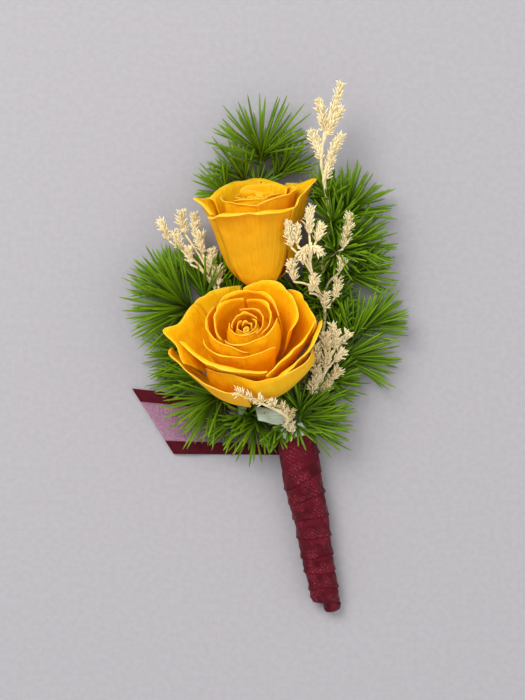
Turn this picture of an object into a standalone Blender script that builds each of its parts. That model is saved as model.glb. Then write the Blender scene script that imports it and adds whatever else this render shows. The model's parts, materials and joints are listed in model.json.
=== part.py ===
"""A boutonniere of two yellow roses, lying on its back on a table.

The shapes are worked out in millimetres: X to the right, Y from the wrapped stems to the flowers, Z up.
Each rose is built in its own frame, whose third axis runs from its seat out through its heart. Azimuths
go round that axis: 0 is to the right, 90 is the side turned to the table and 270 the side turned up.
"""

import math
import random

import bmesh
import bpy
import numpy as np
from mathutils import Matrix, Vector
from mathutils.bvhtree import BVHTree

MM = 0.001  # metres in a millimetre

# Driving dimensions, in millimetres
PETAL_THICKNESS = 0.34
FOOT_THICKNESS = 0.2
PETAL_SPACING = 0.76  # between the middles of two petals that lie on each other
FOOT_SPACING = 0.34  # the same at their feet
CLEARANCE = 0.3  # between pieces that rest on each other
ROSE_STEM_RADIUS = 1.25
FERN_STEM_RADIUS = 0.5
DRIED_STEM_RADIUS = 0.4
RIBBON_THICKNESS = 0.25
WRAP_THICKNESS = 0.6
TAPE_THICKNESS = 0.4
WRAP_TURN_PITCH = 5.0
WRAP_STEP = 0.3

PETAL_COLUMNS = 6
PETAL_ROWS = 5
GOLDEN_ANGLE = 137.5
FOOT_HALF_WIDTH = 1.9  # of a petal, where it is seated
TIP_WIDTH = 0.22  # of a petal's point, as a share of half the petal
SHIFT_WAY = (-0.17, 0.98)  # the way the middle of an inner ring lies off the axis

# The two roses: where the petals are seated, and which way the flower faces
OPEN_SEAT = (-1.9, -7.2, 8.0)
OPEN_AXIS = (-0.13, 0.61, 0.78)
OPEN_RIM = 20.0
BUD_SEAT = (0.2, 15.4, 6.8)
BUD_AXIS = (-0.09, 0.95, 0.30)
BUD_RIM = 23.5

# Colours of the real pieces: base colour, roughness
COLOURS = {
    "petal": ((0.80, 0.36, 0.02), 0.55),
    "leaf": ((0.09, 0.20, 0.02), 0.5),
    "stem": ((0.12, 0.22, 0.04), 0.5),
    "dried": ((0.72, 0.60, 0.36), 0.8),
    "ribbon": ((0.12, 0.01, 0.02), 0.4),
    "sheer": ((0.40, 0.20, 0.24), 0.5),
    "tape": ((0.50, 0.58, 0.44), 0.7),
}


# ---------------------------------------------------------------- frames and meshes


def frame_of(seat, axis):
    """The matrix from a flower's own frame to the model's."""
    third = Vector(axis).normalized()
    first = (Vector((1, 0, 0)) - third * third.x).normalized()
    second = third.cross(first)
    turn = Matrix((first, second, third)).transposed().to_4x4()
    return Matrix.Translation(Vector(seat)) @ turn


def material(name):
    made = bpy.data.materials.get(name)
    if made is None:
        colour, roughness = COLOURS[name]
        made = bpy.data.materials.new(name)
        made.use_nodes = True
        shader = made.node_tree.nodes["Principled BSDF"]
        shader.inputs["Base Color"].default_value = (*colour, 1)
        shader.inputs["Roughness"].default_value = roughness
        shader.inputs["Metallic"].default_value = 0.0
    return made


def add_solid(name, points, faces, colour):
    """Makes a named object of a closed surface given in millimetres."""
    mesh = bpy.data.meshes.new(name)
    mesh.from_pydata([tuple(Vector(p) * MM) for p in points], [], faces)
    mesh.materials.append(material(colour))
    bm = bmesh.new()
    bm.from_mesh(mesh)
    bmesh.ops.recalc_face_normals(bm, faces=bm.faces)
    bmesh.ops.triangulate(bm, faces=bm.faces)
    bm.to_mesh(mesh)
    bm.free()
    mesh.shade_smooth()
    mesh.set_sharp_from_angle(angle=math.radians(40))
    obj = bpy.data.objects.new(name, mesh)
    bpy.context.scene.collection.objects.link(obj)
    return obj


# ---------------------------------------------------------------- rose petals


def smooth(x):
    x = min(1.0, max(0.0, x))
    return x * x * (3 - 2 * x)


def petal(turn, half, radius, height, order, **shape):
    """One petal's shape. turn is the azimuth of its middle and half its half width at the rim, in degrees;
    radius and height say where its rim stands, and order counts the petals outwards from the heart."""
    made = {
        "leave": 45.0,  # angle from the axis at the foot
        "arrive": 0.0,  # the same at the rim
        "belly": 0.42,  # how far it keeps to the first angle
        "drop": 2.0,  # how much lower the rim is at its corners
        "skew": 0.0,  # how much further out the rim is at its second corner
        "flare": 0.0,  # how much further out it is at both corners
        "rise": 0.0,  # how much higher it is at its second corner
        "tip": 0.0,  # how far its point stands out
        "tip_at": 0.0,
        "lip": 0.0,  # how far the rim rolls outwards, in degrees
        "lip_length": 1.6,
        "shift": 0.0,  # how far the middle of an inner ring lies off the axis
    }
    made.update(shape, turn=turn, half=half, radius=radius, height=height, order=order)
    return made


def foot_of(order):
    """Radius and height of a petal's foot on the cone that carries the petals."""
    return 1.25 + 0.16 * order, 6.6 - 0.3 * order


def lip_rows_of(p, rows):
    return 2 * rows // 5 if p["lip"] else 0


def petal_column(p, u, rows):
    """The points up one line of a petal, from foot to rim. u runs from -1 to 1 across it."""
    foot_radius, foot_height = foot_of(p["order"])
    half_foot = min(80.0, math.degrees(FOOT_HALF_WIDTH / foot_radius))
    point_out = p["tip"] * math.exp(-(((u - p["tip_at"]) / TIP_WIDTH) ** 2))
    rim_radius = p["radius"] + p["skew"] * u + p["flare"] * u * u + 0.8 * point_out
    rim_height = p["height"] - p["drop"] * abs(u) ** 2.4 + p["rise"] * u + 0.3 * point_out
    chord = math.hypot(rim_radius - foot_radius, rim_height - foot_height)
    leave, arrive = math.radians(p["leave"]), math.radians(p["arrive"])
    a = np.array([foot_radius, foot_height])
    d = np.array([rim_radius, rim_height])
    b = a + p["belly"] * chord * np.array([math.sin(leave), math.cos(leave)])
    c = d - 0.42 * chord * np.array([math.sin(arrive), math.cos(arrive)])
    lip_rows = lip_rows_of(p, rows)
    body_rows = rows - lip_rows
    profile = []
    for i in range(body_rows + 1):
        t = i / body_rows
        profile.append(a * (1 - t) ** 3 + 3 * b * t * (1 - t) ** 2 + 3 * c * t * t * (1 - t) + d * t**3)
    for i in range(lip_rows):
        angle = arrive + math.radians(p["lip"]) * (i + 0.5) / lip_rows
        step = p["lip_length"] / lip_rows
        profile.append(profile[-1] + step * np.array([math.sin(angle), math.cos(angle)]))
    points = []
    for i, (r, z) in enumerate(profile):
        along = min(1.0, i / body_rows)
        spread = half_foot + (p["half"] - half_foot) * smooth(1.5 * along)
        azimuth = math.radians(p["turn"] + u * spread)
        off = p["shift"] * smooth(along)
        x = r * math.cos(azimuth) + SHIFT_WAY[0] * off
        y = r * math.sin(azimuth) + SHIFT_WAY[1] * off
        points.append((x, y, z))
    return points


def petal_grid(p, columns, rows):
    """The petal's middle surface as an array of rows by columns of points."""
    across = np.linspace(-1, 1, columns + 1)
    lines = [petal_column(p, u, rows) for u in across]
    return np.array(lines).transpose(1, 0, 2)


def normals_of(grid):
    """Unit normals of a grid of points. On a petal they face away from the heart."""
    normal = np.cross(np.gradient(grid, axis=1), np.gradient(grid, axis=0))
    return normal / (np.linalg.norm(normal, axis=2, keepdims=True) + 1e-12)


def surface_of(grids):
    """A tree over the surfaces of all the grids, for casting rays at them."""
    points, faces = [], []
    for grid in grids:
        rows, columns = grid.shape[:2]
        start = len(points)
        points += [Vector(p) for p in grid.reshape(-1, 3)]
        for i in range(rows - 1):
            for j in range(columns - 1):
                k = start + i * columns + j
                faces += [[k, k + 1, k + columns + 1], [k, k + columns + 1, k + columns]]
    return BVHTree.FromPolygons(points, faces)


def refined(grid):
    """The grid with a point between each two neighbours."""
    rows, columns = grid.shape[:2]
    finer = np.zeros((2 * rows - 1, 2 * columns - 1, 3))
    finer[::2, ::2] = grid
    finer[1::2, ::2] = (grid[1:] + grid[:-1]) / 2
    finer[:, 1::2] = (finer[:, 2::2] + finer[:, :-2:2]) / 2
    return finer


def settled(grid, inner_grids, lip_rows):
    """The grid of a petal, moved outwards wherever it would come too near a petal inside it."""
    if not inner_grids:
        return grid
    tree = surface_of(inner_grids)
    rows, columns = grid.shape[:2]
    rim = rows - 1 - lip_rows
    probe = 4.0
    reach_rows, reach_columns = (rows - 1) // 4, (columns - 1) // 3
    for _ in range(3):
        normal = normals_of(grid)
        fine, fine_normal = refined(grid), refined(normal)
        push = np.zeros(fine.shape[:2])
        for i in range(1, len(fine)):
            spacing = FOOT_SPACING + (PETAL_SPACING - FOOT_SPACING) * min(1.0, 1.1 * i / rim)
            for j in range(fine.shape[1]):
                out = Vector(fine_normal[min(i, 2 * rim), j]).normalized()
                here = Vector(fine[i, j])
                hit = tree.ray_cast(here + out * probe, -out, 2 * probe)[0]
                if hit is not None:
                    push[i, j] = max(0.0, (hit - here).dot(out) + spacing)
        push[2 * rim] = push[2 * rim :].max(axis=0)
        wide = np.zeros((rows, columns))
        for i in range(1, rim + 1):
            for j in range(columns):
                low, left = max(1, 2 * i - reach_rows), max(0, 2 * j - reach_columns)
                near = push[low : 2 * i + reach_rows + 1, left : 2 * j + reach_columns + 1]
                wide[i, j] = near.max()
        grid = grid + normal * wide[:, :, None]
        for i in range(rim + 1, rows):
            grid[i] += normal[rim] * wide[rim][:, None]
    return grid


def thick_sheet(grid, thickness, foot_thickness=None):
    """Points and faces of the closed solid round a grid of points."""
    normal = normals_of(grid)
    rows, columns = grid.shape[:2]
    count = rows * columns
    half = np.full((rows, 1, 1), thickness / 2)
    half[0] = (foot_thickness or thickness) / 2
    points = np.concatenate([(grid + side * normal * half).reshape(-1, 3) for side in (1, -1)])

    def at(i, j):
        return i * columns + j

    faces = []
    for i in range(rows - 1):
        for j in range(columns - 1):
            quad = [at(i, j), at(i, j + 1), at(i + 1, j + 1), at(i + 1, j)]
            faces.append(quad)
            faces.append([count + k for k in reversed(quad)])
    edge = [at(0, j) for j in range(columns)]
    edge += [at(i, columns - 1) for i in range(1, rows)]
    edge += [at(rows - 1, j) for j in range(columns - 2, -1, -1)]
    edge += [at(i, 0) for i in range(rows - 2, 0, -1)]
    for k, here in enumerate(edge):
        after = edge[(k + 1) % len(edge)]
        faces.append([after, here, count + here, count + after])
    return points, faces


def open_rose_petals():
    """The petals of the open rose, from the heart outwards."""
    rim = OPEN_RIM
    made = []
    for i in range(6):  # the tight swirl
        radius = 1.5 + 0.62 * i
        made.append(
            petal(60 + GOLDEN_ANGLE * i, 80, radius, rim - 1.0 + 0.22 * i, i,
                  leave=34, arrive=-20, drop=0.8, shift=0.2 * radius)
        )
    for i in range(5):  # the ring round it
        radius = 6.6 + 0.66 * i
        made.append(
            petal(20 + GOLDEN_ANGLE * i, 66, radius, rim + 0.9 - 0.1 * i, 6 + i,
                  leave=50, arrive=-8, drop=1.6, skew=0.15, shift=0.2 * radius)
        )
    made += [
        petal(256, 62, 10.2, rim + 0.2, 11, leave=55, arrive=8, skew=-0.8, drop=1.8),
        petal(44, 50, 14.0, rim - 0.6, 12, leave=58, arrive=16, skew=1.2, flare=-2.4, lip=40),
        petal(238, 53, 13.2, rim - 0.4, 13, leave=62, arrive=12, skew=-0.8, flare=1.2, lip=95),
        petal(326, 38, 13.8, rim - 1.4, 14, leave=62, arrive=14, skew=1.2, flare=2.0, lip=60),
        petal(30, 27, 16.4, rim - 2.0, 15, leave=64, arrive=24, drop=3.0),
        petal(170, 34, 16.4, rim - 3.0, 16, leave=66, arrive=34, tip=4.2, tip_at=0.2, lip=30),
        petal(321, 44, 15.9, rim - 3.0, 17, leave=70, arrive=14, skew=2.0, rise=1.4, lip=80),
        petal(279, 58, 13.0, rim - 3.8, 18, leave=88, arrive=-14, belly=0.62, skew=0.6, drop=2.2, lip=10),
        petal(128, 32, 17.0, rim - 5.0, 19, leave=68, arrive=32, lip=30),
        petal(226, 43, 17.6, rim - 4.0, 20, leave=76, arrive=16, tip=2.6, tip_at=-0.9, drop=2.5),
        petal(76, 33, 14.2, rim - 10.0, 21, leave=80, arrive=44),
    ]
    return made


def bud_petals():
    """The petals of the half-open rose, from the heart outwards."""
    rim = BUD_RIM
    made = []
    for i in range(5):
        made.append(
            petal(100 + GOLDEN_ANGLE * i, 78, 1.8 + 1.05 * i, rim - 0.6 + 0.25 * i, 2 + i,
                  leave=34, arrive=2, drop=0.8)
        )
    made += [
        petal(60, 62, 7.4, rim + 0.9, 8, leave=48, arrive=10, drop=1.4),
        petal(215, 60, 8.4, rim, 9, leave=50, arrive=10, drop=1.4),
        petal(330, 58, 9.8, rim + 0.8, 11, leave=58, arrive=14, belly=0.36, lip=50),
        petal(105, 60, 10.8, rim + 1.0, 13, leave=64, arrive=18, belly=0.32, lip=50),
        petal(6, 48, 12.0, rim + 0.6, 15, leave=70, arrive=26, belly=0.3, rise=0.6, tip=3.4, tip_at=0.15,
              lip=60),
        petal(169, 43, 12.2, rim - 0.4, 17, leave=76, arrive=28, belly=0.3, tip=3.0, tip_at=0.3, lip=90),
        petal(262, 53, 12.2, rim - 1.5, 19, leave=84, arrive=26, belly=0.28, rise=0.5, drop=0.6, lip=120),
    ]
    return made


def add_rose(name, seat, axis, petals, heart_height):
    """The petals and the rolled heart of one rose."""
    place = frame_of(seat, axis)
    made, grids = [], []
    for i, shape in enumerate(petals):
        lip_rows = lip_rows_of(shape, PETAL_ROWS)
        grid = settled(petal_grid(shape, PETAL_COLUMNS, PETAL_ROWS), grids, lip_rows)
        grids.append(grid)
        points, faces = thick_sheet(grid, PETAL_THICKNESS, FOOT_THICKNESS)
        made.append(
            add_solid(f"{name}_petal_{i + 1:02d}", [place @ Vector(p) for p in points], faces, "petal")
        )
    sides = 8
    profile = [(0.45, 6.9), (0.8, 8.6), (0.9, 12.0), (0.9, heart_height - 3.0), (0.5, heart_height)]
    rings = [
        [place @ Vector((r * math.cos(t), r * math.sin(t), z)) for t in np.arange(sides) * math.tau / sides]
        for r, z in profile
    ]
    points, faces = lofted(rings)
    made.append(add_solid(f"{name}_heart", points, faces, "petal"))
    return made


# ---------------------------------------------------------------- tubes, stems and spikes


def lofted(rings):
    """Points and faces of a solid through rings of points, with a face across each end."""
    sides = len(rings[0])
    points = [p for ring in rings for p in ring]
    faces = []
    for i in range(len(rings) - 1):
        for j in range(sides):
            k = (j + 1) % sides
            faces.append([i * sides + j, i * sides + k, (i + 1) * sides + k, (i + 1) * sides + j])
    faces.append(list(range(sides))[::-1])
    faces.append([(len(rings) - 1) * sides + j for j in range(sides)])
    return points, faces


def curve_through(route, spacing):
    """Points a spacing apart along the smooth curve through the points of a route."""
    route = [Vector(p) for p in route]
    ends = [2 * route[0] - route[1], *route, 2 * route[-1] - route[-2]]
    dense = []
    for a, b, c, d in zip(ends, ends[1:], ends[2:], ends[3:]):
        for i in range(20):
            t = i / 20
            dense.append(
                0.5 * (2 * b + (c - a) * t + (2 * a - 5 * b + 4 * c - d) * t * t
                       + (3 * b - a - 3 * c + d) * t**3)
            )
    dense.append(route[-1])
    length = sum((b - a).length for a, b in zip(dense, dense[1:]))
    count = max(2, round(length / spacing))
    points, walked, k = [dense[0]], 0.0, 0
    for i in range(1, count):
        wanted = length * i / count
        while walked + (dense[k + 1] - dense[k]).length < wanted:
            walked += (dense[k + 1] - dense[k]).length
            k += 1
        points.append(dense[k].lerp(dense[k + 1], (wanted - walked) / (dense[k + 1] - dense[k]).length))
    return [*points, dense[-1]]


def tube_rings(points, radii, sides):
    """Rings round the points of a path that don't twist along it."""
    rings = []
    side = None
    for i, p in enumerate(points):
        ahead = (points[min(i + 1, len(points) - 1)] - points[max(i - 1, 0)]).normalized()
        if side is None:
            side = ahead.orthogonal().normalized()
        side = (side - ahead * side.dot(ahead)).normalized()
        other = ahead.cross(side)
        rings.append(
            [p + float(radii[i]) * (side * math.cos(t) + other * math.sin(t))
             for t in np.arange(sides) * math.tau / sides]
        )
    return rings


class Crowd:
    """What is already in place, so that a spike can stop short of it."""

    def __init__(self):
        self.trees = []

    def add(self, obj):
        mesh = obj.data
        self.trees.append(
            BVHTree.FromPolygons([v.co / MM for v in mesh.vertices], [list(f.vertices) for f in mesh.polygons])
        )

    def near(self, point, reach):
        return point.z < reach or any(tree.find_nearest(point, reach)[0] for tree in self.trees)

    def clear_length(self, root, direction, length, reach, start=1.2):
        """How far a spike can run before something comes within reach of it."""
        walked = start
        while walked <= length:
            if self.near(root + direction * walked, reach * (1.9 - 0.9 * walked / length)):
                return walked - 0.9
            walked += 0.6
        return length


def add_spikes(bm, picks, crowd, reach):
    """Pokes faces out into spikes. picks holds each face with its spike's direction and length."""
    for face, direction, length in picks:
        middle = face.calc_center_median()
        free = crowd.clear_length(middle, direction, length, reach)
        if free < 2.2:
            continue
        bmesh.ops.poke(bm, faces=[face])["verts"][0].co = middle + direction * free


def branch_from(bm, face, route, radius, end_radius, spacing):
    """Draws a side branch out of one face along a route, and returns its faces, ring by ring."""
    points = curve_through([face.calc_center_median(), *route], spacing)
    corners = [v.co.copy() for v in face.verts]
    middle = face.calc_center_median()
    ahead = (points[1] - points[0]).normalized()
    arms = [c - middle for c in corners]
    rings = [list(face.verts)]
    bm.faces.remove(face)
    sides = len(corners)
    for i, p in enumerate(points[1:], 1):
        ahead = (points[min(i + 1, len(points) - 1)] - points[i - 1]).normalized()
        size = radius + (end_radius - radius) * i / (len(points) - 1)
        arms = [(a - ahead * a.dot(ahead)).normalized() for a in arms]
        rings.append([bm.verts.new(p + a * size) for a in arms])
    layers = []
    for low, high in zip(rings, rings[1:]):
        layers.append(
            [bm.faces.new([low[j], low[(j + 1) % sides], high[(j + 1) % sides], high[j]])
             for j in range(sides)]
        )
    layers.append([bm.faces.new(rings[-1])])
    return layers


def ahead_of(layers, i):
    """The direction in which a branch runs at one of its layers."""
    def middle(layer):
        return sum((f.calc_center_median() for f in layer), Vector()) / len(layer)

    j = max(1, min(i, len(layers) - 1))
    return (middle(layers[j]) - middle(layers[j - 1])).normalized()


def needle_picks(layers, first, reach, lean, random_source):
    """A spike for each face of a tuft's layers: outwards at its foot and forwards at its end."""
    picks = []
    count = len(layers) - first
    for i in range(first, len(layers)):
        ahead = ahead_of(layers, i)
        share = (i - first + 1) / count
        for face in layers[i]:
            out = face.normal.copy()
            if i == len(layers) - 1:
                out = ahead
            forward = lean + (1.0 - lean) * share
            direction = (out * (1.25 - forward) + ahead * forward).normalized()
            jitter = Vector([random_source.uniform(-0.16, 0.16) for _ in range(3)])
            length = reach * random_source.uniform(0.82, 1.0) * (0.72 + 0.28 * share)
            picks.append((face, (direction + jitter).normalized(), length))
    return picks


# ---------------------------------------------------------------- the wrapped stems

HANDLE_ROUTE = [
    (8.1, -23.0, 5.6), (10.2, -34.8, 5.0), (12.1, -43.8, 4.5), (14.0, -54.8, 3.9), (16.0, -65.2, 3.4),
]
HANDLE_HALF_WIDTHS = [5.7, 5.5, 5.0, 4.5, 4.0]
HANDLE_HALF_HEIGHTS = [4.9, 4.7, 4.3, 3.8, 3.3]
WRAP_TIP = (17.9, -68.6, 2.7)  # the folded end, over the longer stem


def along_handle(share):
    """Middle, across and up directions, half width and half height at a share of the handle's length."""
    points = curve_through(HANDLE_ROUTE, 2.0)
    x = share * (len(points) - 1)
    i = min(int(max(x, 0)), len(points) - 2)
    middle = points[i] + (points[i + 1] - points[i]) * (x - i)
    ahead = (points[i + 1] - points[i]).normalized()
    across = ahead.cross(Vector((0, 0, 1))).normalized() * -1
    up = across.cross(ahead) * -1
    knots = np.linspace(0, 1, len(HANDLE_HALF_WIDTHS))
    width = float(np.interp(share, knots, HANDLE_HALF_WIDTHS))
    height = float(np.interp(share, knots, HANDLE_HALF_HEIGHTS))
    return middle, across, up if up.z > 0 else -up, width, height


def oval_ring(middle, across, up, width, height, sides):
    return [
        middle + across * (width * math.cos(t)) + up * (height * math.sin(t))
        for t in np.arange(sides) * math.tau / sides
    ]


def sleeve(outer, inner):
    """Points and faces of a sleeve. outer and inner hold rings from its mouth to its far end.
    The far end is closed when the inner rings stop short of it, as fewer inner rings say."""
    sides = len(outer[0])
    points = [p for ring in outer + inner for p in ring]
    faces = []

    def band(a, b):
        for j in range(sides):
            k = (j + 1) % sides
            faces.append([a + j, a + k, b + k, b + j])

    for i in range(len(outer) - 1):
        band(i * sides, (i + 1) * sides)
    start = len(outer) * sides
    for i in range(len(inner) - 1):
        band(start + (i + 1) * sides, start + i * sides)
    band(start, 0)
    last_outer, last_inner = (len(outer) - 1) * sides, start + (len(inner) - 1) * sides
    if len(inner) < len(outer):
        faces.append([last_outer + j for j in range(sides)])
        faces.append([last_inner + j for j in range(sides)][::-1])
    else:
        band(last_outer, last_inner)
    return points, faces


def add_ribbon_wrap():
    """The ribbon wound round the stems, each turn standing a step over the one below it."""
    sides, outer, inner = 12, [], []
    length = sum(
        (Vector(b) - Vector(a)).length for a, b in zip(HANDLE_ROUTE, HANDLE_ROUTE[1:])
    )
    turns = round(length / WRAP_TURN_PITCH)
    for i in range(turns):
        for part, step in ((0.0, 0.0), (0.9, WRAP_STEP)):
            middle, across, up, width, height = along_handle((i + part) / turns)
            size = step - WRAP_STEP
            outer.append(oval_ring(middle, across, up, width + size, height + size, sides))
            wall = WRAP_THICKNESS
            inner.append(oval_ring(middle, across, up, width - wall, height - wall, sides))
    middle, across, up, width, height = along_handle(1.0)
    outer.append(oval_ring(middle, across, up, width - 0.3, height - 0.3, sides))
    tip = Vector(WRAP_TIP)
    outer.append(oval_ring(middle.lerp(tip, 0.6), across, up, 2.6, 2.5, sides))
    outer.append(oval_ring(tip, across, up, 1.7, 1.7, sides))
    points, faces = sleeve(outer, inner)
    return add_solid("ribbon_wrap", points, faces, "ribbon")


def add_stem_tape():
    """The floral tape that binds the stems, from just above the ribbon to inside it."""
    sides, outer, inner = 14, [], []
    shares = [-0.08, 0.0, 0.2, 0.4, 0.6]
    gap = WRAP_THICKNESS + CLEARANCE
    for share in shares:
        middle, across, up, width, height = along_handle(share)
        outer.append(oval_ring(middle, across, up, width - gap, height - gap, sides))
        wall = gap + TAPE_THICKNESS
        inner.append(oval_ring(middle, across, up, width - wall, height - wall, sides))
    points, faces = sleeve(outer, inner)
    return add_solid("stem_tape", points, faces, "tape")


def slot(angle, share, radius, spread=1.0):
    """A place for a stem inside the tape, against its wall. angle 0 is right and 90 up."""
    middle, across, up, width, height = along_handle(share)
    wall = WRAP_THICKNESS + CLEARANCE + TAPE_THICKNESS + CLEARANCE + radius + 0.1
    t = math.radians(angle)
    out = across * ((width - wall) * math.cos(t)) + up * ((height - wall) * math.sin(t))
    return middle + out * spread


def core(side, share):
    """A place for one of the two rose stems, which lie side by side in the middle."""
    middle, across, _, _, _ = along_handle(share)
    return middle + across * (side * (ROSE_STEM_RADIUS + 0.2))


# ---------------------------------------------------------------- rose stems


def add_rose_stem(name, seat, axis, stem_route, crowd, cup, flesh):
    """A stem that swells into the hip, with the cone that carries the petals and five sepals."""
    place = frame_of(seat, axis)
    sides = 10
    route = curve_through([*stem_route, place @ Vector((0, 0, -5.2))], 4.0)
    points = route + [place @ Vector((0, 0, z)) for z in (-4.0, -2.6, -1.0, -0.2, 1.6, 3.4, 5.2, 6.4)]
    radii = [ROSE_STEM_RADIUS] * (len(route) - 1)
    radii += [1.5, 2.5, flesh, flesh, cup, 3.4, 2.45, 1.5, 0.85]
    rings = tube_rings(points, radii, sides)
    solid, faces = lofted(rings)
    bm = bmesh.new()
    verts = [bm.verts.new(p) for p in solid]
    bm.faces.ensure_lookup_table()
    made = [bm.faces.new([verts[i] for i in face]) for face in faces]
    bm.normal_update()
    layer = len(rings) - 7
    picks = []
    for k in range(5):
        face = made[layer * sides + 2 * k]
        out = face.normal.copy()
        down = (place.to_3x3() @ Vector((0, 0, -1))).normalized()
        picks.append((face, (out * 0.9 + down * 0.75).normalized(), 8.5))
    add_spikes(bm, picks, crowd, 0.75)
    obj = solid_from_bmesh(name, bm, "stem")
    return obj


def solid_from_bmesh(name, bm, colour):
    bm.verts.index_update()
    points = [v.co.copy() for v in bm.verts]
    faces = [[v.index for v in f.verts] for f in bm.faces]
    bm.free()
    return add_solid(name, points, faces, colour)


# ---------------------------------------------------------------- fern and dried flowers


def sprig_bmesh(route, radius, end_radius, sides, spacing, carrying):
    """A bare stem along a route, as a bmesh with its faces in layers. The layers are long where the stem
    is bare and a spacing apart over the share of it that carries leaves."""
    bm = bmesh.new()
    points = curve_through(route, spacing)
    bare = round((1 - carrying) * len(points))
    points = points[:bare:3] + points[bare:]
    radii = np.linspace(radius, end_radius, len(points))
    rings = [[bm.verts.new(p) for p in ring] for ring in tube_rings(points, radii, sides)]
    bm.faces.new(rings[0][::-1])
    layers = [
        [bm.faces.new([low[j], low[(j + 1) % sides], high[(j + 1) % sides], high[j]]) for j in range(sides)]
        for low, high in zip(rings, rings[1:])
    ]
    layers.append([bm.faces.new(rings[-1])])
    bm.normal_update()
    return bm, layers


def first_leafy(layers):
    """The first layer of the part that carries leaves, where the layers become short."""
    for i in range(len(layers) - 2, 0, -1):
        if layers[i][0].calc_area() > 1.8 * layers[-2][0].calc_area():
            return i + 1
    return 1


def nearest_face(layers, point):
    """The face of the stem that looks most towards a point."""
    best, found = -1e9, None
    for i, layer in enumerate(layers[1:-2], 1):
        for j, face in enumerate(layer):
            if not face.is_valid or face.tag:
                continue
            away = point - face.calc_center_median()
            score = face.normal.dot(away.normalized()) * 6 - away.length
            if score > best:
                best, found = score, (i, j)
    return found


def add_fern(name, route, tufts, crowd, seed):
    """A stem of ming fern. The stem's own end carries the first tuft, and each further tuft stands on a
    side branch. A tuft is (end point, reach of its needles, share of the branch that carries them)."""
    source = random.Random(seed)
    _, reach, carrying = tufts[0]
    bm, layers = sprig_bmesh(route, FERN_STEM_RADIUS, 0.4, 5, 1.7, carrying)
    first = first_leafy(layers)
    picks = needle_picks(layers, first, reach, 0.35, source)
    for end, branch_reach, branch_share in tufts[1:]:
        end = Vector(end)
        i, j = nearest_face(layers, end)
        face = layers[i][j]
        start = face.calc_center_median()
        bend = start.lerp(end, 0.5) + face.normal * 0.8
        picks = [pick for pick in picks if pick[0] is not face]
        branch = branch_from(bm, face, [bend, end], 0.42, 0.36, 1.7)
        bm.normal_update()
        for layer in branch:
            for made in layer:
                made.tag = True
        start_at = max(1, round((1 - branch_share) * len(branch)))
        picks += needle_picks(branch, start_at, branch_reach, 0.35, source)
    add_spikes(bm, picks, crowd, 0.6)
    return solid_from_bmesh(name, bm, "leaf")


def floret_picks(layers, first, reach, source):
    """A short fat spike for each floret, in turn round a spike of dried flowers."""
    picks = []
    for i in range(first, len(layers)):
        ahead = ahead_of(layers, i)
        for j, face in enumerate(layers[i]):
            if i < len(layers) - 1 and (i + j) % 2:
                continue
            out = ahead if i == len(layers) - 1 else face.normal
            direction = (out * 0.55 + ahead * 0.8).normalized()
            picks.append((face, direction, reach * source.uniform(0.85, 1.1)))
    return picks


def add_dried(name, route, spikes, crowd, seed, carrying):
    """A stem of dried statice: florets along its own end, and along each side spike."""
    source = random.Random(seed)
    bm, layers = sprig_bmesh(route, DRIED_STEM_RADIUS, 0.4, 4, 1.9, carrying)
    first = first_leafy(layers)
    picks = floret_picks(layers, first, 3.4, source)
    for end, share in spikes:
        end = Vector(end)
        i, j = nearest_face(layers, end)
        face = layers[i][j]
        start = face.calc_center_median()
        picks = [pick for pick in picks if pick[0] is not face]
        branch = branch_from(bm, face, [start.lerp(end, 0.5) + face.normal * 0.5, end], 0.38, 0.34, 1.9)
        bm.normal_update()
        for layer in branch:
            for made in layer:
                made.tag = True
        picks += floret_picks(branch, max(1, round((1 - share) * len(branch))), 3.2, source)
    add_spikes(bm, picks, crowd, 0.45)
    return solid_from_bmesh(name, bm, "dried")


# ---------------------------------------------------------------- ribbon tail


def add_ribbon_tail():
    """The loose end of the ribbon, cut on the slant. It lies on the table and under the wrapped stems."""
    top_left, top_right = Vector((-34.2, -10.9, 0)), Vector((9.0, -15.5, 0))
    low_left, low_right = Vector((-23.4, -27.9, 0)), Vector((8.0, -28.2, 0))
    rows, columns = 4, 10
    grid = np.zeros((rows + 1, columns + 1, 3))
    for i in range(rows + 1):
        for j in range(columns + 1):
            s, t = j / columns, i / rows
            point = low_left.lerp(low_right, s).lerp(top_left.lerp(top_right, s), t)
            lift = RIBBON_THICKNESS / 2 + 0.9 * (1 - s) ** 2 + 0.35 * math.sin(3 * math.pi * s) ** 2 * (1 - s)
            grid[i, j] = (point.x, point.y, lift)
    points, faces = thick_sheet(grid, RIBBON_THICKNESS)
    return add_solid("ribbon_tail", points, faces, "sheer")


# ---------------------------------------------------------------- assembly


def stem_end(angle, radius, depth=0.18):
    """The part of a thin stem that lies inside the tape, deepest point first."""
    return [slot(angle, share, radius) for share in (depth, depth / 2, 0.0, -0.14)]


def centre_on_origin():
    """Moves everything so that the origin is under the middle of the whole piece, on the table."""
    corners = np.array([v.co for o in bpy.data.objects for v in o.data.vertices])
    low, high = corners.min(0), corners.max(0)
    shift = Vector((-(low[0] + high[0]) / 2, -(low[1] + high[1]) / 2, -low[2]))
    for obj in bpy.data.objects:
        obj.data.transform(Matrix.Translation(shift))


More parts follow.
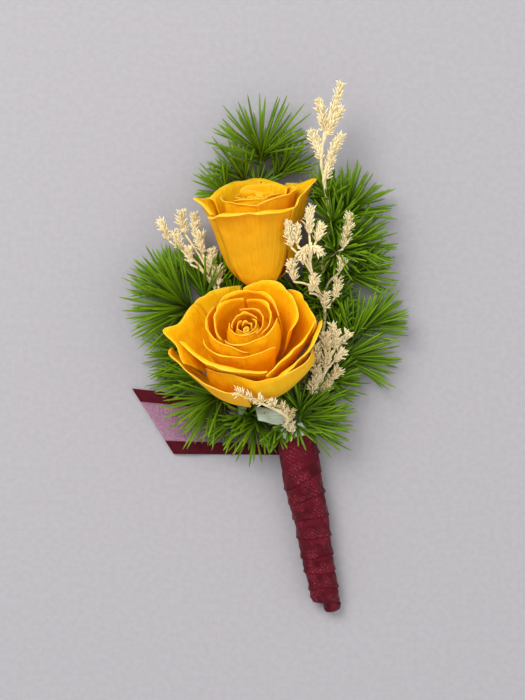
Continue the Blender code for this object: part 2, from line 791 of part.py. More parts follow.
def add_greenery(crowd):
    """The ferns and the dried statice, each from its place in the tape to its ends."""
    fern = FERN_STEM_RADIUS
    dried = DRIED_STEM_RADIUS

    def grow(build, name, angle, radius, route, ends, seed, *more):
        crowd.add(build(name, stem_end(angle, radius) + route, ends, crowd, seed, *more))

    grow(add_fern, "fern_top", 250, fern,
         [(5.4, -14.2, 1.6), (3.6, -8, 1.2), (-2.5, 6, 1.0), (-4, 20, 1.0), (-3, 34, 1.0), (-2, 43, 2.2),
          (-1, 51, 6.0)],
         [(None, 12.5, 0.2), ((-11, 46, 4.0), 10.5, 0.7), ((7, 48, 4.5), 9.5, 0.7), ((-1, 55, 6.0), 9.5, 0.5)], 1)
    grow(add_fern, "fern_left", 200, fern,
         [(2.0, -15.6, 3.0), (-2.5, -11.9, 1.5), (-8, -5, 1.5), (-15, 4, 2.2), (-21, 11, 4.0), (-27, 17, 6.0)],
         [(None, 12.0, 0.34), ((-28, 8, 3.6), 11.0, 0.6), ((-22, 20, 3.2), 10.0, 0.6), ((-19, 11, 8.0), 9.0, 0.6)], 2)
    grow(add_fern, "fern_left_lower", 176, fern,
         [(1.0, -16.9, 4.0), (-5, -14.0, 2.8), (-10, -10.5, 2.4), (-17, -4, 3.0), (-23, -1, 4.5)],
         [(None, 10.0, 0.35), ((-18, -15, 3.4), 11.0, 0.7), ((-22, -8, 3.0), 9.0, 0.5)], 3)
    grow(add_fern, "fern_bottom", 150, fern,
         [(2.8, -17.6, 7.0), (-1.5, -19.4, 5.4), (-6, -22, 4.0), (-9, -23.5, 3.4)],
         [(None, 9.0, 0.4), ((-2, -26, 3.0), 7.5, 0.6), ((-13, -18, 3.4), 7.0, 0.5)], 4)
    grow(add_fern, "fern_right_upper", 312, fern,
         [(12.4, -13, 2.4), (17, -3, 1.6), (19, 9, 2.0), (19.5, 20, 4.0), (21.6, 33, 7.0), (24, 40, 9.0)],
         [(None, 10.5, 0.2), ((27, 25, 5.0), 10.0, 0.7), ((15, 36, 3.0), 9.0, 0.7), ((24, 15, 3.0), 8.5, 0.6),
          ((27, 33, 5.0), 9.5, 0.6)], 5)
    grow(add_fern, "fern_right_lower", 5, fern,
         [(13, -15, 4.4), (18, -8, 4.0), (22, 0, 4.5), (27.5, 7.2, 6.0), (30, 10, 6.5)],
         [(None, 9.5, 0.3), ((28, -4, 5.0), 9.5, 0.7), ((31, 3, 4.0), 8.5, 0.6), ((22, 8, 3.4), 7.0, 0.5)], 6)
    grow(add_fern, "fern_bottom_right", 60, fern,
         [(9.6, -16.6, 9.0), (12.4, -18.2, 7.4), (17, -18.8, 5.0)],
         [(None, 8.0, 0.4), ((20, -12, 3.6), 7.0, 0.6), ((14, -22, 3.0), 6.0, 0.5)], 7)
    grow(add_dried, "statice_left", 225, dried,
         [(3.9, -14.6, 2.0), (1.4, -10.4, 1.2), (-3.4, -3, 1.1), (-8.6, 5, 2.4), (-12, 14, 4.6), (-16, 24, 6.0),
          (-17.8, 34.8, 8.0)],
         [((-25, 32, 9.0), 0.5), ((-21, 28, 11.0), 0.5), ((-12.5, 30, 10.0), 0.6)], 8, 0.2)
    grow(add_dried, "statice_tall", 285, dried,
         [(9, -13, 1.4), (12, -4, 1.1), (14, 8, 1.4), (15, 20, 5.0), (17, 33, 11.0), (17, 48, 14.0), (19.3, 66, 14.0)],
         [((21.5, 60, 13.0), 0.7), ((21, 31, 15.0), 0.7), ((22, 22, 11.0), 0.7)], 9, 0.3)
    grow(add_dried, "statice_centre", 340, dried,
         [(12.5, -9, 3.4), (15, 2, 4.4), (15.6, 10, 8.0), (14, 18, 13.0), (12, 28, 17.0), (11, 35, 19.0)],
         [((6.8, 30, 21.0), 0.7), ((8.6, 19.5, 18.0), 0.7), ((15, 28, 15.0), 0.7)], 10, 0.25)
    grow(add_dried, "statice_lower_right", 30, dried,
         [(12, -14.6, 6.4), (15.2, -9.6, 10.0), (18, -3, 12.0), (19, 4, 12.0)],
         [((15.4, -2.4, 16.0), 0.7), ((22, -3, 9.0), 0.7), ((21, -9, 8.0), 0.7)], 11, 0.4)
    grow(add_dried, "statice_front", 118, dried,
         [(4.8, -21.0, 11.5), (1.4, -19.4, 18.0), (-3.5, -17.4, 24.0), (-10, -14.0, 28.0)],
         [((2.6, -18.0, 24.0), 0.6)], 12, 0.6)


def main():
    for obj in list(bpy.data.objects):
        bpy.data.objects.remove(obj)
    crowd = Crowd()
    for obj in (add_ribbon_tail(), add_ribbon_wrap(), add_stem_tape()):
        crowd.add(obj)
    for obj in add_rose("open_rose", OPEN_SEAT, OPEN_AXIS, open_rose_petals(), OPEN_RIM - 1.0):
        crowd.add(obj)
    for obj in add_rose("bud", BUD_SEAT, BUD_AXIS, bud_petals(), BUD_RIM - 1.0):
        crowd.add(obj)
    bud_route = [core(1, 0.95), core(1, 0.6), core(1, 0.3), core(1, 0.0), core(1, -0.14),
                 (8.2, -12.0, 3.5), (6.8, -3.0, 2.0), (3.4, 5.0, 2.6)]
    crowd.add(add_rose_stem("bud_stem", BUD_SEAT, BUD_AXIS, bud_route, crowd, 3.7, 2.9))
    open_route = [core(-1, 0.92), core(-1, 0.6), core(-1, 0.3), core(-1, 0.0), core(-1, -0.14),
                  (2.2, -13.4, 4.6)]
    crowd.add(add_rose_stem("open_rose_stem", OPEN_SEAT, OPEN_AXIS, open_route, crowd, 4.2, 3.3))
    add_greenery(crowd)
    centre_on_origin()


if __name__ == "__main__":
    main()
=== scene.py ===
"""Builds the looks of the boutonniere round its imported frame: rose petals, fern needles, dried florets,
floral tape and ribbon. Lengths inside the file are in millimetres in the layout frame, whose X runs to the
right, Y from the wrapped stems to the flowers and Z up from the table; add_piece() turns them to metres."""

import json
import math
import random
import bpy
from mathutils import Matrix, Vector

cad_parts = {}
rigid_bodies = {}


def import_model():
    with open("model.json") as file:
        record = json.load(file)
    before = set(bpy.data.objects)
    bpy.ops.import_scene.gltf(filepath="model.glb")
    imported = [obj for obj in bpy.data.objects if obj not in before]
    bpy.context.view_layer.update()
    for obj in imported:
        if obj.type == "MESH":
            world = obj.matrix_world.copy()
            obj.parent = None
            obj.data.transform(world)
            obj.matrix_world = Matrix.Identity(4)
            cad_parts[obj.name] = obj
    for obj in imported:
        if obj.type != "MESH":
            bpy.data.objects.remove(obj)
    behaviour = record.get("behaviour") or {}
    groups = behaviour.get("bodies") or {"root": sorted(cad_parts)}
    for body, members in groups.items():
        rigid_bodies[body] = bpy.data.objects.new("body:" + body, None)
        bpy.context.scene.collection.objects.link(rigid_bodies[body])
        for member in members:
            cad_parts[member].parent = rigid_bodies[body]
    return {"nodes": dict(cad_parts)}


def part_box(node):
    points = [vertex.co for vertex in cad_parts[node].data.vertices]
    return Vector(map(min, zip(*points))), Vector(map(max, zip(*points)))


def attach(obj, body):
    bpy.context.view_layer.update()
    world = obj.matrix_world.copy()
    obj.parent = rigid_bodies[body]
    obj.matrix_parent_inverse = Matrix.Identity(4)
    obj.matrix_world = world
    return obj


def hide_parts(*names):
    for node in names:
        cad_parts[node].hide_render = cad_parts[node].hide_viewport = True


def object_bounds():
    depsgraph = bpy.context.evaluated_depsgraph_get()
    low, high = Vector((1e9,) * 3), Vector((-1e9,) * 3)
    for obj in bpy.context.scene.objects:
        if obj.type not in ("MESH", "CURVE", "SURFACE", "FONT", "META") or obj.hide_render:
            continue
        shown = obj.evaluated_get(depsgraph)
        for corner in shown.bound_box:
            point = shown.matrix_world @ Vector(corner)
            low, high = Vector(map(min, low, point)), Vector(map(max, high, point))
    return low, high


bl_info = {
    "name": "Boutonniere",
    "version": (1, 0, 0),
    "blender": (4, 5, 0),
    "location": "View3D > Sidebar > Boutonniere",
    "description": "Two yellow roses with fern, dried statice and ribbon, built round the packed frame",
    "category": "Object",
}

import bmesh
import bpy
import numpy as np
from bpy.props import FloatProperty, FloatVectorProperty, PointerProperty
from mathutils import Matrix, Vector
from mathutils.bvhtree import BVHTree

for leftover in list(bpy.data.objects):
    bpy.data.objects.remove(leftover)
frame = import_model()
CAD_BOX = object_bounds()

MM = 0.001

# The loose ribbon's corners in the layout frame. The rest of the layout is placed from them.
TAIL_TOP_LEFT = Vector((-34.2, -10.9, 0))
TAIL_TOP_RIGHT = Vector((9.0, -15.5, 0))
TAIL_LOW_LEFT = Vector((-23.4, -27.9, 0))
TAIL_LOW_RIGHT = Vector((8.0, -28.2, 0))
TAIL_LENGTH = 43  # along its weave


def layout_origin():
    """Where the layout frame's origin lies in the model, in millimetres."""
    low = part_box("ribbon_tail")[0] / MM
    return Vector((low.x - TAIL_TOP_LEFT.x, low.y - TAIL_LOW_RIGHT.y, low.z))


ORIGIN = layout_origin()

# The roses: seat of the petals, direction in which the flower faces, height of its rim above the seat
OPEN_SEAT = (-1.9, -7.2, 8.0)
OPEN_AXIS = (-0.13, 0.61, 0.78)
OPEN_RIM = 20.0
BUD_SEAT = (0.2, 15.4, 6.8)
BUD_AXIS = (-0.09, 0.95, 0.30)
BUD_RIM = 23.5
GOLDEN_ANGLE = 137.5

PETAL_ROWS = 26
PETAL_COLUMNS = 30
PETAL_SPACING = 0.66  # between the middles of two petals that lie on each other
FOOT_SPACING = 0.3  # the same at their feet
FOOT_HALF_WIDTH = 1.9
TIP_WIDTH = 0.22  # of a petal's point, as a share of its half width
ARRIVE_BELLY = 0.42  # how far a petal keeps to the angle at its rim
CORNER_POWER = 2.4  # the higher, the squarer a petal's corners
RUFFLES = ((1.1, 0.9), (2.3, 0.6), (4.1, 0.3))  # waves across a petal, and their share of its ruffle
NOTCH_DEPTH, NOTCH_WIDTH = 0.45, 0.12  # where the midrib ends
SHIFT_WAY = (-0.17, 0.98)  # in which the middle of an inner ring is shifted
HEART_TURNS = 2.2


def linear(hex_colour):
    """An sRGB hex colour as linear red, green and blue."""
    parts = [int(hex_colour[i : i + 2], 16) / 255 for i in (1, 3, 5)]
    return tuple(c / 12.92 if c <= 0.04045 else ((c + 0.055) / 1.055) ** 2.4 for c in parts)


# ---------------------------------------------------------------- settings


def length_property(name, description, millimetres):
    return FloatProperty(
        name=name, description=description, default=millimetres * MM, min=0.0, unit="LENGTH", precision=5
    )


def colour_property(name, description, hex_colour):
    return FloatVectorProperty(
        name=name, description=description, default=linear(hex_colour), subtype="COLOR", min=0, max=1
    )


class BoutonniereSizes(bpy.types.PropertyGroup):
    petal_thickness: length_property("Petal thickness", "Thickness of a rose petal", 0.24)
    petal_ruffle: length_property("Petal ruffle", "Height of the waves along a petal's rim", 0.32)
    vein_spacing: length_property("Vein spacing", "Distance between the veins of a petal", 0.7)
    needle_width: length_property("Needle width", "Width of a fern needle at its middle", 0.56)
    needle_share: FloatProperty(
        name="Needle share", description="Needles in each tuft, as a share of the usual number",
        default=1.5, min=0.1, max=3.0, subtype="FACTOR",
    )
    husk_length: length_property("Husk length", "Length of one papery husk of a dried floret", 2.3)
    floret_spacing: length_property("Floret spacing", "Distance between florets along a head", 0.62)
    ribbon_width: length_property("Ribbon width", "Width of the ribbon from edge to edge", 16.0)
    satin_band: length_property("Satin band", "Width of the satin band along each edge", 3.3)
    ribbon_thickness: length_property("Ribbon thickness", "Thickness of the ribbon", 0.12)
    thread_spacing: length_property("Thread spacing", "Distance between the ribbon's threads", 0.42)


class BoutonniereColours(bpy.types.PropertyGroup):
    petal_face: colour_property("Petal face", "Petals, over most of their face", "#FFB80C")
    petal_rim: colour_property("Petal rim", "Petals, towards their rim", "#FCBC3C")
    petal_fold: colour_property("Petal fold", "Petals, deep between them", "#FFAE08")
    petal_outer: colour_property("Outer petals", "The outermost petals, on their outer face", "#F4AA12")
    fern_light: colour_property("Fern, light", "Young needles and needle tips", "#70960A")
    # partly the tone of old needles, partly painted shade: needles darken towards their feet, deep in each
    # tuft
    fern_dark_and_shade: colour_property("Fern, dark", "Old needles and needle feet", "#1A3006")
    stem_green: colour_property("Stem", "Rose stems, hips and sepals", "#5E7A34")
    husk_light: colour_property("Husk, light", "Dried florets, at their tips", "#FFEFBE")
    # painted shade: the husks' feet, in the gaps between them, are darkened to this tan
    husk_feet_shade: colour_property("Husk, dark", "Dried florets, at their feet", "#D6B66E")
    tape: colour_property("Floral tape", "Tape that binds the stems", "#C5D3BD")
    satin: colour_property("Satin", "Satin bands of the ribbon", "#480812")
    organza: colour_property("Organza", "Sheer middle of the ribbon", "#B4809C")
    glint: colour_property("Glint", "Threads of the ribbon that catch the light", "#B0404E")
    floor: colour_property("Floor", "Table top", "#9E9A9C")


# ---------------------------------------------------------------- meshes and pieces


def add_piece(name, points, faces, material, nodes, attributes=None, uv=None):
    """Makes a piece that rides on the model and stands for the CAD nodes named. Points are in the layout
    frame. attributes hold one number for each point, and uv one pair for each point, in millimetres."""
    mesh = bpy.data.meshes.new(name)
    mesh.from_pydata([tuple((Vector(p) + ORIGIN) * MM) for p in points], [], [list(f) for f in faces])
    for key, values in (attributes or {}).items():
        layer = mesh.attributes.new(key, "FLOAT", "POINT")
        layer.data.foreach_set("value", np.asarray(values, np.float32))
    if uv is not None:
        layer = mesh.uv_layers.new(name="UVMap")
        corners = np.zeros(len(mesh.loops), np.int32)
        mesh.loops.foreach_get("vertex_index", corners)
        layer.data.foreach_set("uv", np.asarray(uv, np.float32)[corners].ravel())
    mesh.materials.append(material)
    bm = bmesh.new()
    bm.from_mesh(mesh)
    bmesh.ops.recalc_face_normals(bm, faces=bm.faces)
    bm.to_mesh(mesh)
    bm.free()
    mesh.shade_smooth()
    obj = bpy.data.objects.new(name, mesh)
    bpy.context.scene.collection.objects.link(obj)
    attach(obj, "root")
    if nodes:
        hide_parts(*nodes)
    return obj


class Pile:
    """Points, faces and attributes of many small shapes that become one piece."""

    def __init__(self):
        self.points, self.faces, self.tint, self.along = [], [], [], []

    def add(self, points, faces, tint, along):
        start = len(self.points)
        self.points += points
        self.faces += [[start + k for k in face] for face in faces]
        self.tint += [tint] * len(points)
        self.along += along

    def piece(self, name, material, nodes, slot):
        return add_piece(
            name, self.points, self.faces, material, nodes, {"tint": self.tint, "along": self.along}
        )


def grid_of(rows, columns, point):
    """A grid of points, with point(i, j) in row i and column j."""
    return np.array([[tuple(point(i, j)) for j in range(columns + 1)] for i in range(rows + 1)])


def normals_of(grid):
    """Unit normals of a grid of points. On a petal they face away from the heart."""
    normal = np.cross(np.gradient(grid, axis=1), np.gradient(grid, axis=0))
    return normal / (np.linalg.norm(normal, axis=2, keepdims=True) + 1e-12)


def thick_sheet(grid, thickness):
    """Points and faces of the closed sheet round a grid of points."""
    normal = normals_of(grid)
    rows, columns = grid.shape[:2]
    count = rows * columns
    points = np.concatenate([(grid + side * normal * thickness / 2).reshape(-1, 3) for side in (1, -1)])
    faces = []
    for i in range(rows - 1):
        for j in range(columns - 1):
            quad = [i * columns + j, i * columns + j + 1, (i + 1) * columns + j + 1, (i + 1) * columns + j]
            faces.append(quad)
            faces.append([count + k for k in reversed(quad)])
    edge = list(range(columns))
    edge += [i * columns + columns - 1 for i in range(1, rows)]
    edge += [(rows - 1) * columns + j for j in range(columns - 2, -1, -1)]
    edge += [i * columns for i in range(rows - 2, 0, -1)]
    for here, after in zip(edge, edge[1:] + edge[:1]):
        faces.append([after, here, count + here, count + after])
    return points, faces


def lofted(rings):
    """Points and faces of a solid through rings of points, with a face across each end."""
    sides = len(rings[0])
    points = [p for ring in rings for p in ring]
    faces = []
    for i in range(len(rings) - 1):
        for j in range(sides):
            k = (j + 1) % sides
            faces.append([i * sides + j, i * sides + k, (i + 1) * sides + k, (i + 1) * sides + j])
    faces.append(list(range(sides))[::-1])
    faces.append([(len(rings) - 1) * sides + j for j in range(sides)])
    return points, faces


def curve_through(route, spacing):
    """Points a spacing apart along the smooth curve through the points of a route."""
    route = [Vector(p) for p in route]
    ends = [2 * route[0] - route[1], *route, 2 * route[-1] - route[-2]]
    dense = []
    for a, b, c, d in zip(ends, ends[1:], ends[2:], ends[3:]):
        for i in range(20):
            t = i / 20
            dense.append(
                0.5 * (2 * b + (c - a) * t + (2 * a - 5 * b + 4 * c - d) * t * t
                       + (3 * b - a - 3 * c + d) * t**3)
            )
    dense.append(route[-1])
    length = sum((b - a).length for a, b in zip(dense, dense[1:]))
    count = max(2, round(length / spacing))
    points, walked, k = [dense[0]], 0.0, 0
    for i in range(1, count):
        wanted = length * i / count
        while walked + (dense[k + 1] - dense[k]).length < wanted:
            walked += (dense[k + 1] - dense[k]).length
            k += 1
        points.append(dense[k].lerp(dense[k + 1], (wanted - walked) / (dense[k + 1] - dense[k]).length))
    return [*points, dense[-1]]


def tube(points, radii, sides):
    """Points and faces of a closed tube along a path."""
    rings, side = [], None
    for i, p in enumerate(points):
        ahead = (points[min(i + 1, len(points) - 1)] - points[max(i - 1, 0)]).normalized()
        if side is None:
            side = ahead.orthogonal().normalized()
        side = (side - ahead * side.dot(ahead)).normalized()
        other = ahead.cross(side)
        turns = [math.tau * j / sides for j in range(sides)]
        rings.append([p + (side * math.cos(t) + other * math.sin(t)) * float(radii[i]) for t in turns])
    return lofted(rings)


# ---------------------------------------------------------------- materials


BLACK, WHITE = (0, 0, 0), (1, 1, 1)


def set_inputs(node, inputs):
    """Gives a node's sockets their values, or links them to other nodes' outputs."""
    for key, value in inputs.items():
        if isinstance(value, bpy.types.NodeSocket):
            node.id_data.links.new(value, node.inputs[key])
        else:
            node.inputs[key].default_value = value


def add_node(tree, kind, inputs=None, **settings):
    """Adds a shader node. inputs maps its sockets to values, or to other nodes' outputs to link."""
    made = tree.nodes.new("ShaderNode" + kind)
    for key, value in settings.items():
        setattr(made, key, value)
    set_inputs(made, inputs or {})
    return made


def calc(tree, operation, *values):
    """The result of a sum on one to three values."""
    return add_node(tree, "Math", dict(enumerate(values)), operation=operation).outputs[0]


def noise(tree, place, scale, detail):
    """Noise between 0 and 1 at a place."""
    return add_node(tree, "TexNoise", {"Vector": place, "Scale": scale, "Detail": detail}).outputs["Fac"]


def ranged(tree, value, low, high, to_low=0.0, to_high=1.0):
    """A value carried over from one range to another."""
    inputs = {"Value": value, "From Min": low, "From Max": high, "To Min": to_low, "To Max": to_high}
    return add_node(tree, "MapRange", inputs).outputs["Result"]


def mixed(tree, share, one, other, data_type="RGBA"):
    """The colour, or the number, that lies a share of the way from one to the other."""
    inputs = {"Factor": share, "A": one, "B": other}
    return add_node(tree, "Mix", inputs, data_type=data_type).outputs["Result"]


def ramped(tree, value, stops):
    """The colour at a value along a ramp. stops are (place, linear colour)."""
    ramp = add_node(tree, "ValToRGB", {"Fac": value})
    elements = ramp.color_ramp.elements
    while len(elements) > 1:
        elements.remove(elements[-1])
    elements[0].position = stops[0][0]
    elements[0].color = (*stops[0][1], 1)
    for place, colour in stops[1:]:
        elements.new(place).color = (*colour, 1)
    return ramp.outputs[0]


def bumped(tree, height, strength, distance, **under):
    """The normal of a surface with bumps of this height."""
    inputs = {"Height": height, "Strength": strength, "Distance": distance, **under}
    return add_node(tree, "Bump", inputs).outputs[0]


def attribute(tree, name):
    return add_node(tree, "Attribute", attribute_name=name).outputs["Fac"]


def object_place(tree):
    return add_node(tree, "TexCoord").outputs["Object"]


def uv_place(tree):
    return add_node(tree, "UVMap", uv_map="UVMap").outputs[0]


def new_material(name):
    """An empty material, its tree and its Principled shader."""
    made = bpy.data.materials.new(name)
    made.use_nodes = True
    return made, made.node_tree, made.node_tree.nodes["Principled BSDF"]


def blended(one, other, share):
    return tuple(a + (b - a) * share for a, b in zip(one, other))


def petal_material(name, colours, sizes, face, outer):
    """Rose petal: thin, waxy and lit through. It goes from deep orange at its foot to pale at its rim, and
    fine veins run up it."""
    made, tree, shader = new_material(name)
    place = object_place(tree)
    mottle = noise(tree, place, scale=170.0, detail=3.0)
    height = calc(tree, "ADD", attribute(tree, "along"), calc(tree, "MULTIPLY_ADD", mottle, 0.30, -0.15))
    inner_side = ramped(
        tree, height, [(0.28, colours.petal_fold), (0.6, face), (0.9, face), (1.1, colours.petal_rim)]
    )
    outer_foot = blended(outer, colours.petal_fold, 0.35)
    outer_rim = blended(face, colours.petal_rim, 0.6)
    outer_side = ramped(
        tree, height, [(0.15, outer_foot), (0.5, outer), (0.85, blended(outer, face, 0.6)), (1.0, outer_rim)]
    )
    colour = mixed(tree, attribute(tree, "outside"), inner_side, outer_side)
    across = 1 / (sizes.vein_spacing / MM)
    stretched = add_node(tree, "Mapping", {"Vector": uv_place(tree), "Scale": (across, across / 9, 1)})
    veins = noise(tree, stretched.outputs[0], scale=1.0, detail=3.0)
    shade = ranged(tree, veins, 0.3, 0.7, to_low=0.92, to_high=1.04)
    fine = bumped(tree, veins, strength=0.8, distance=0.0003)
    broad = noise(tree, place, scale=260.0, detail=1.0)
    set_inputs(shader, {
        "Base Color": add_node(tree, "VectorMath", {0: colour, "Scale": shade}, operation="SCALE").outputs[0],
        "Normal": bumped(tree, broad, strength=0.6, distance=0.0010, Normal=fine),
        "Roughness": 0.5,
        "IOR": 1.4,
        "Specular IOR Level": 0.14,
        "Subsurface Weight": 0.6,
        "Subsurface Radius": (1.0, 0.5, 0.12),
        "Subsurface Scale": 0.0012,
    })
    return made


def tinted_material(name, dark, light, grain_scale, grain_depth, looks):
    """The base of fern, stem and husk materials: dark at the foot with painted shade and light at the tip,
    each piece with a tint of its own, and a fine grain. looks holds the rest of the shader's inputs."""
    made, tree, shader = new_material(name)
    height = calc(tree, "MULTIPLY", calc(tree, "ADD", attribute(tree, "along"), attribute(tree, "tint")), 0.5)
    # painted shade: the ramp darkens each piece towards its foot
    plain = ramped(tree, height, [(0.08, dark), (0.5, blended(dark, light, 0.55)), (0.92, light)])
    grain = noise(tree, object_place(tree), scale=grain_scale, detail=3.0)
    spotted = mixed(tree, grain, plain, (*blended(dark, light, 0.3), 1))
    set_inputs(shader, {
        "Base Color": mixed(tree, 0.22, plain, spotted),
        "Normal": bumped(tree, grain, strength=0.6, distance=grain_depth),
        "IOR": 1.45,
        **looks,
    })
    return made


def fern_material(colours):
    """Ming fern needle: fresh, slightly waxy green, lighter and yellower towards its tip, and darkened
    towards its foot with painted shade deep in the tuft.
    """
    looks = {"Roughness": 0.4, "Specular IOR Level": 0.22}
    return tinted_material("ming fern needle", colours.fern_dark_and_shade, colours.fern_light, 900.0, 0.00005, looks)


def stem_material(colours):
    """Rose stem and sepal: matt green skin with a fine grain. Each sepal is darkened with painted shade at
    its foot and lightened with painted light at its tip.
    """
    # painted light and painted shade: a lighter and a darker copy of the stem's green
    light = blended(colours.stem_green, WHITE, 0.12)
    dark = blended(colours.stem_green, BLACK, 0.45)
    return tinted_material("rose stem and sepal", dark, light, 700.0, 0.00008, {"Roughness": 0.5})


def husk_material(colours):
    """Dried statice: papery, dull cream, tan at its feet with painted shade in the gaps between husks, and it
    lets some light through.
    """
    looks = {
        "Roughness": 0.75,
        "Subsurface Weight": 0.25,
        "Subsurface Radius": (1.0, 0.8, 0.5),
        "Subsurface Scale": 0.0008,
        "Sheen Weight": 0.1,
    }
    dark, light = colours.husk_feet_shade, colours.husk_light
    return tinted_material("dried statice husk", dark, light, 1100.0, 0.00008, looks)


def tape_material(colours):
    """Floral tape: waxed crepe paper, pale green, with fine wrinkles across it, darkened in their folds with
    painted shade.
    """
    made, tree, shader = new_material("waxed crepe floral tape")
    mapped = add_node(tree, "Mapping", {"Vector": object_place(tree), "Scale": (1.0, 4.0, 1.0)})
    crepe = noise(tree, mapped.outputs[0], scale=500.0, detail=3.0)
    # painted shade: the crepe is darkened where its bumps dip into folds
    crepe_fold_shade = blended(colours.tape, (0.1, 0.16, 0.06), 0.35)
    set_inputs(shader, {
        "Base Color": ramped(tree, crepe, [(0.3, crepe_fold_shade), (0.6, colours.tape)]),
        "Normal": bumped(tree, crepe, strength=0.8, distance=0.0003),
        "Roughness": 0.6,
    })
    return made


def ribbon_material(name, colours, sizes, organza_alpha, organza_colour, glint):
    """Polyester ribbon: organza woven so open that the table shows through, between two dense satin bands.
    uv runs across the ribbon in u and along it in v, in millimetres. glint is how much its threads catch
    the light where layers of it cross, from 0 to 1."""
    made, tree, shader = new_material(name)
    uv = uv_place(tree)
    split = add_node(tree, "SeparateXYZ", {"Vector": uv})
    over, along = split.outputs[0], split.outputs[1]
    half_width, blur = sizes.ribbon_width / MM / 2, 0.12
    edge = half_width - sizes.satin_band / MM
    from_middle = calc(tree, "ABSOLUTE", calc(tree, "SUBTRACT", over, half_width))
    satin_share = ranged(tree, from_middle, edge - blur, edge + blur)
    # threads are about 0.1 mm apart; they are drawn four times as coarse, so that they show
    threads = math.tau / (sizes.thread_spacing / MM)
    weft = calc(tree, "SINE", calc(tree, "MULTIPLY", along, threads))
    warp = calc(tree, "SINE", calc(tree, "MULTIPLY", over, threads))
    # two layers of fine threads make bands of light and dark on the slant
    slant = add_node(
        tree, "Mapping", {"Vector": uv, "Rotation": (0, 0, math.radians(38)), "Scale": (0.9, 2.6, 1)}
    )
    moire = noise(tree, slant.outputs[0], scale=1.1, detail=2.0)
    if organza_alpha < 1:
        weave = calc(tree, "MULTIPLY_ADD", calc(tree, "MAXIMUM", weft, warp), 0.14, organza_alpha)
        sheer = calc(tree, "ADD", weave, calc(tree, "MULTIPLY_ADD", moire, 0.5, -0.25))
        set_inputs(shader, {"Alpha": mixed(tree, satin_share, sheer, 1.0, "FLOAT")})
    # painted sheen: the satin's colour darkens in soft patches, to as little as 0.6 of itself
    lustre = noise(tree, uv, scale=0.35, detail=2.0)
    satin = ramped(tree, lustre, [(0.3, blended(colours.satin, BLACK, 0.4)), (0.7, colours.satin)])
    crossed = blended(organza_colour, colours.satin, 0.4)
    organza = ramped(tree, moire, [(0.38, crossed), (0.62, organza_colour)])
    # fine bright lines on the slant, broken up, and single threads that shine
    lines = add_node(
        tree, "TexWave", {"Vector": uv, "Scale": 0.56, "Distortion": 4.0, "Detail": 2.0},
        bands_direction="DIAGONAL",
    )
    patches = ranged(tree, noise(tree, uv, scale=0.22, detail=1.0), 0.42, 0.6)
    specks = ranged(tree, noise(tree, uv, scale=1.9, detail=1.0), 0.58, 0.7)
    lit = calc(tree, "MULTIPLY", lines.outputs["Fac"], 0.22)
    shining = calc(tree, "MULTIPLY", calc(tree, "MULTIPLY_ADD", specks, 0.8, lit), patches)
    share = calc(tree, "MULTIPLY", shining, glint)
    set_inputs(shader, {
        "Base Color": mixed(tree, share, mixed(tree, satin_share, organza, satin), (*colours.glint, 1)),
        "Roughness": mixed(tree, satin_share, 0.6, 0.42, "FLOAT"),
        "Normal": bumped(tree, calc(tree, "ADD", weft, warp), strength=0.35, distance=0.00005),
        "Specular IOR Level": 0.22,
        "Specular Tint": (0.9, 0.3, 0.4, 1),
    })
    return made


# ---------------------------------------------------------------- rose petals


def smooth(x):
    x = min(1.0, max(0.0, x))
    return x * x * (3 - 2 * x)


def petal(turn, half, radius, height, order, **shape):
    """One petal's shape. turn is the azimuth of its middle and half its half width at the rim, in degrees;
    radius and height say where its rim stands, and order counts the petals outwards from the heart."""
    made = {
        "leave": 45.0,  # angle from the axis at the foot
        "arrive": 0.0,  # the same at the rim
        "belly": 0.42,  # how far it keeps to the first angle
        "drop": 2.0,  # how much lower the rim is at its corners
        "skew": 0.0,  # how much further out the rim is at its second corner
        "flare": 0.0,  # how much further out it is at both corners
        "rise": 0.0,  # how much higher it is at its second corner
        "tip": 0.0,  # how far its point stands out
        "tip_at": 0.0,  # where across it that is, from -1 to 1
        "lip": 35.0,  # how far the rim rolls outwards, in degrees
        "lip_length": 0.8,  # how wide the rolled strip is
        "shift": 0.0,  # how far the middle of an inner ring lies off the axis
    }
    made.update(shape, turn=turn, half=half, radius=radius, height=height, order=order)
    return made


def foot_of(order):
    """Radius and height of a petal's foot on the cone that carries the petals."""
    return 1.25 + 0.16 * order, 6.6 - 0.3 * order


def lip_rows_of(rows):
    return rows // 3


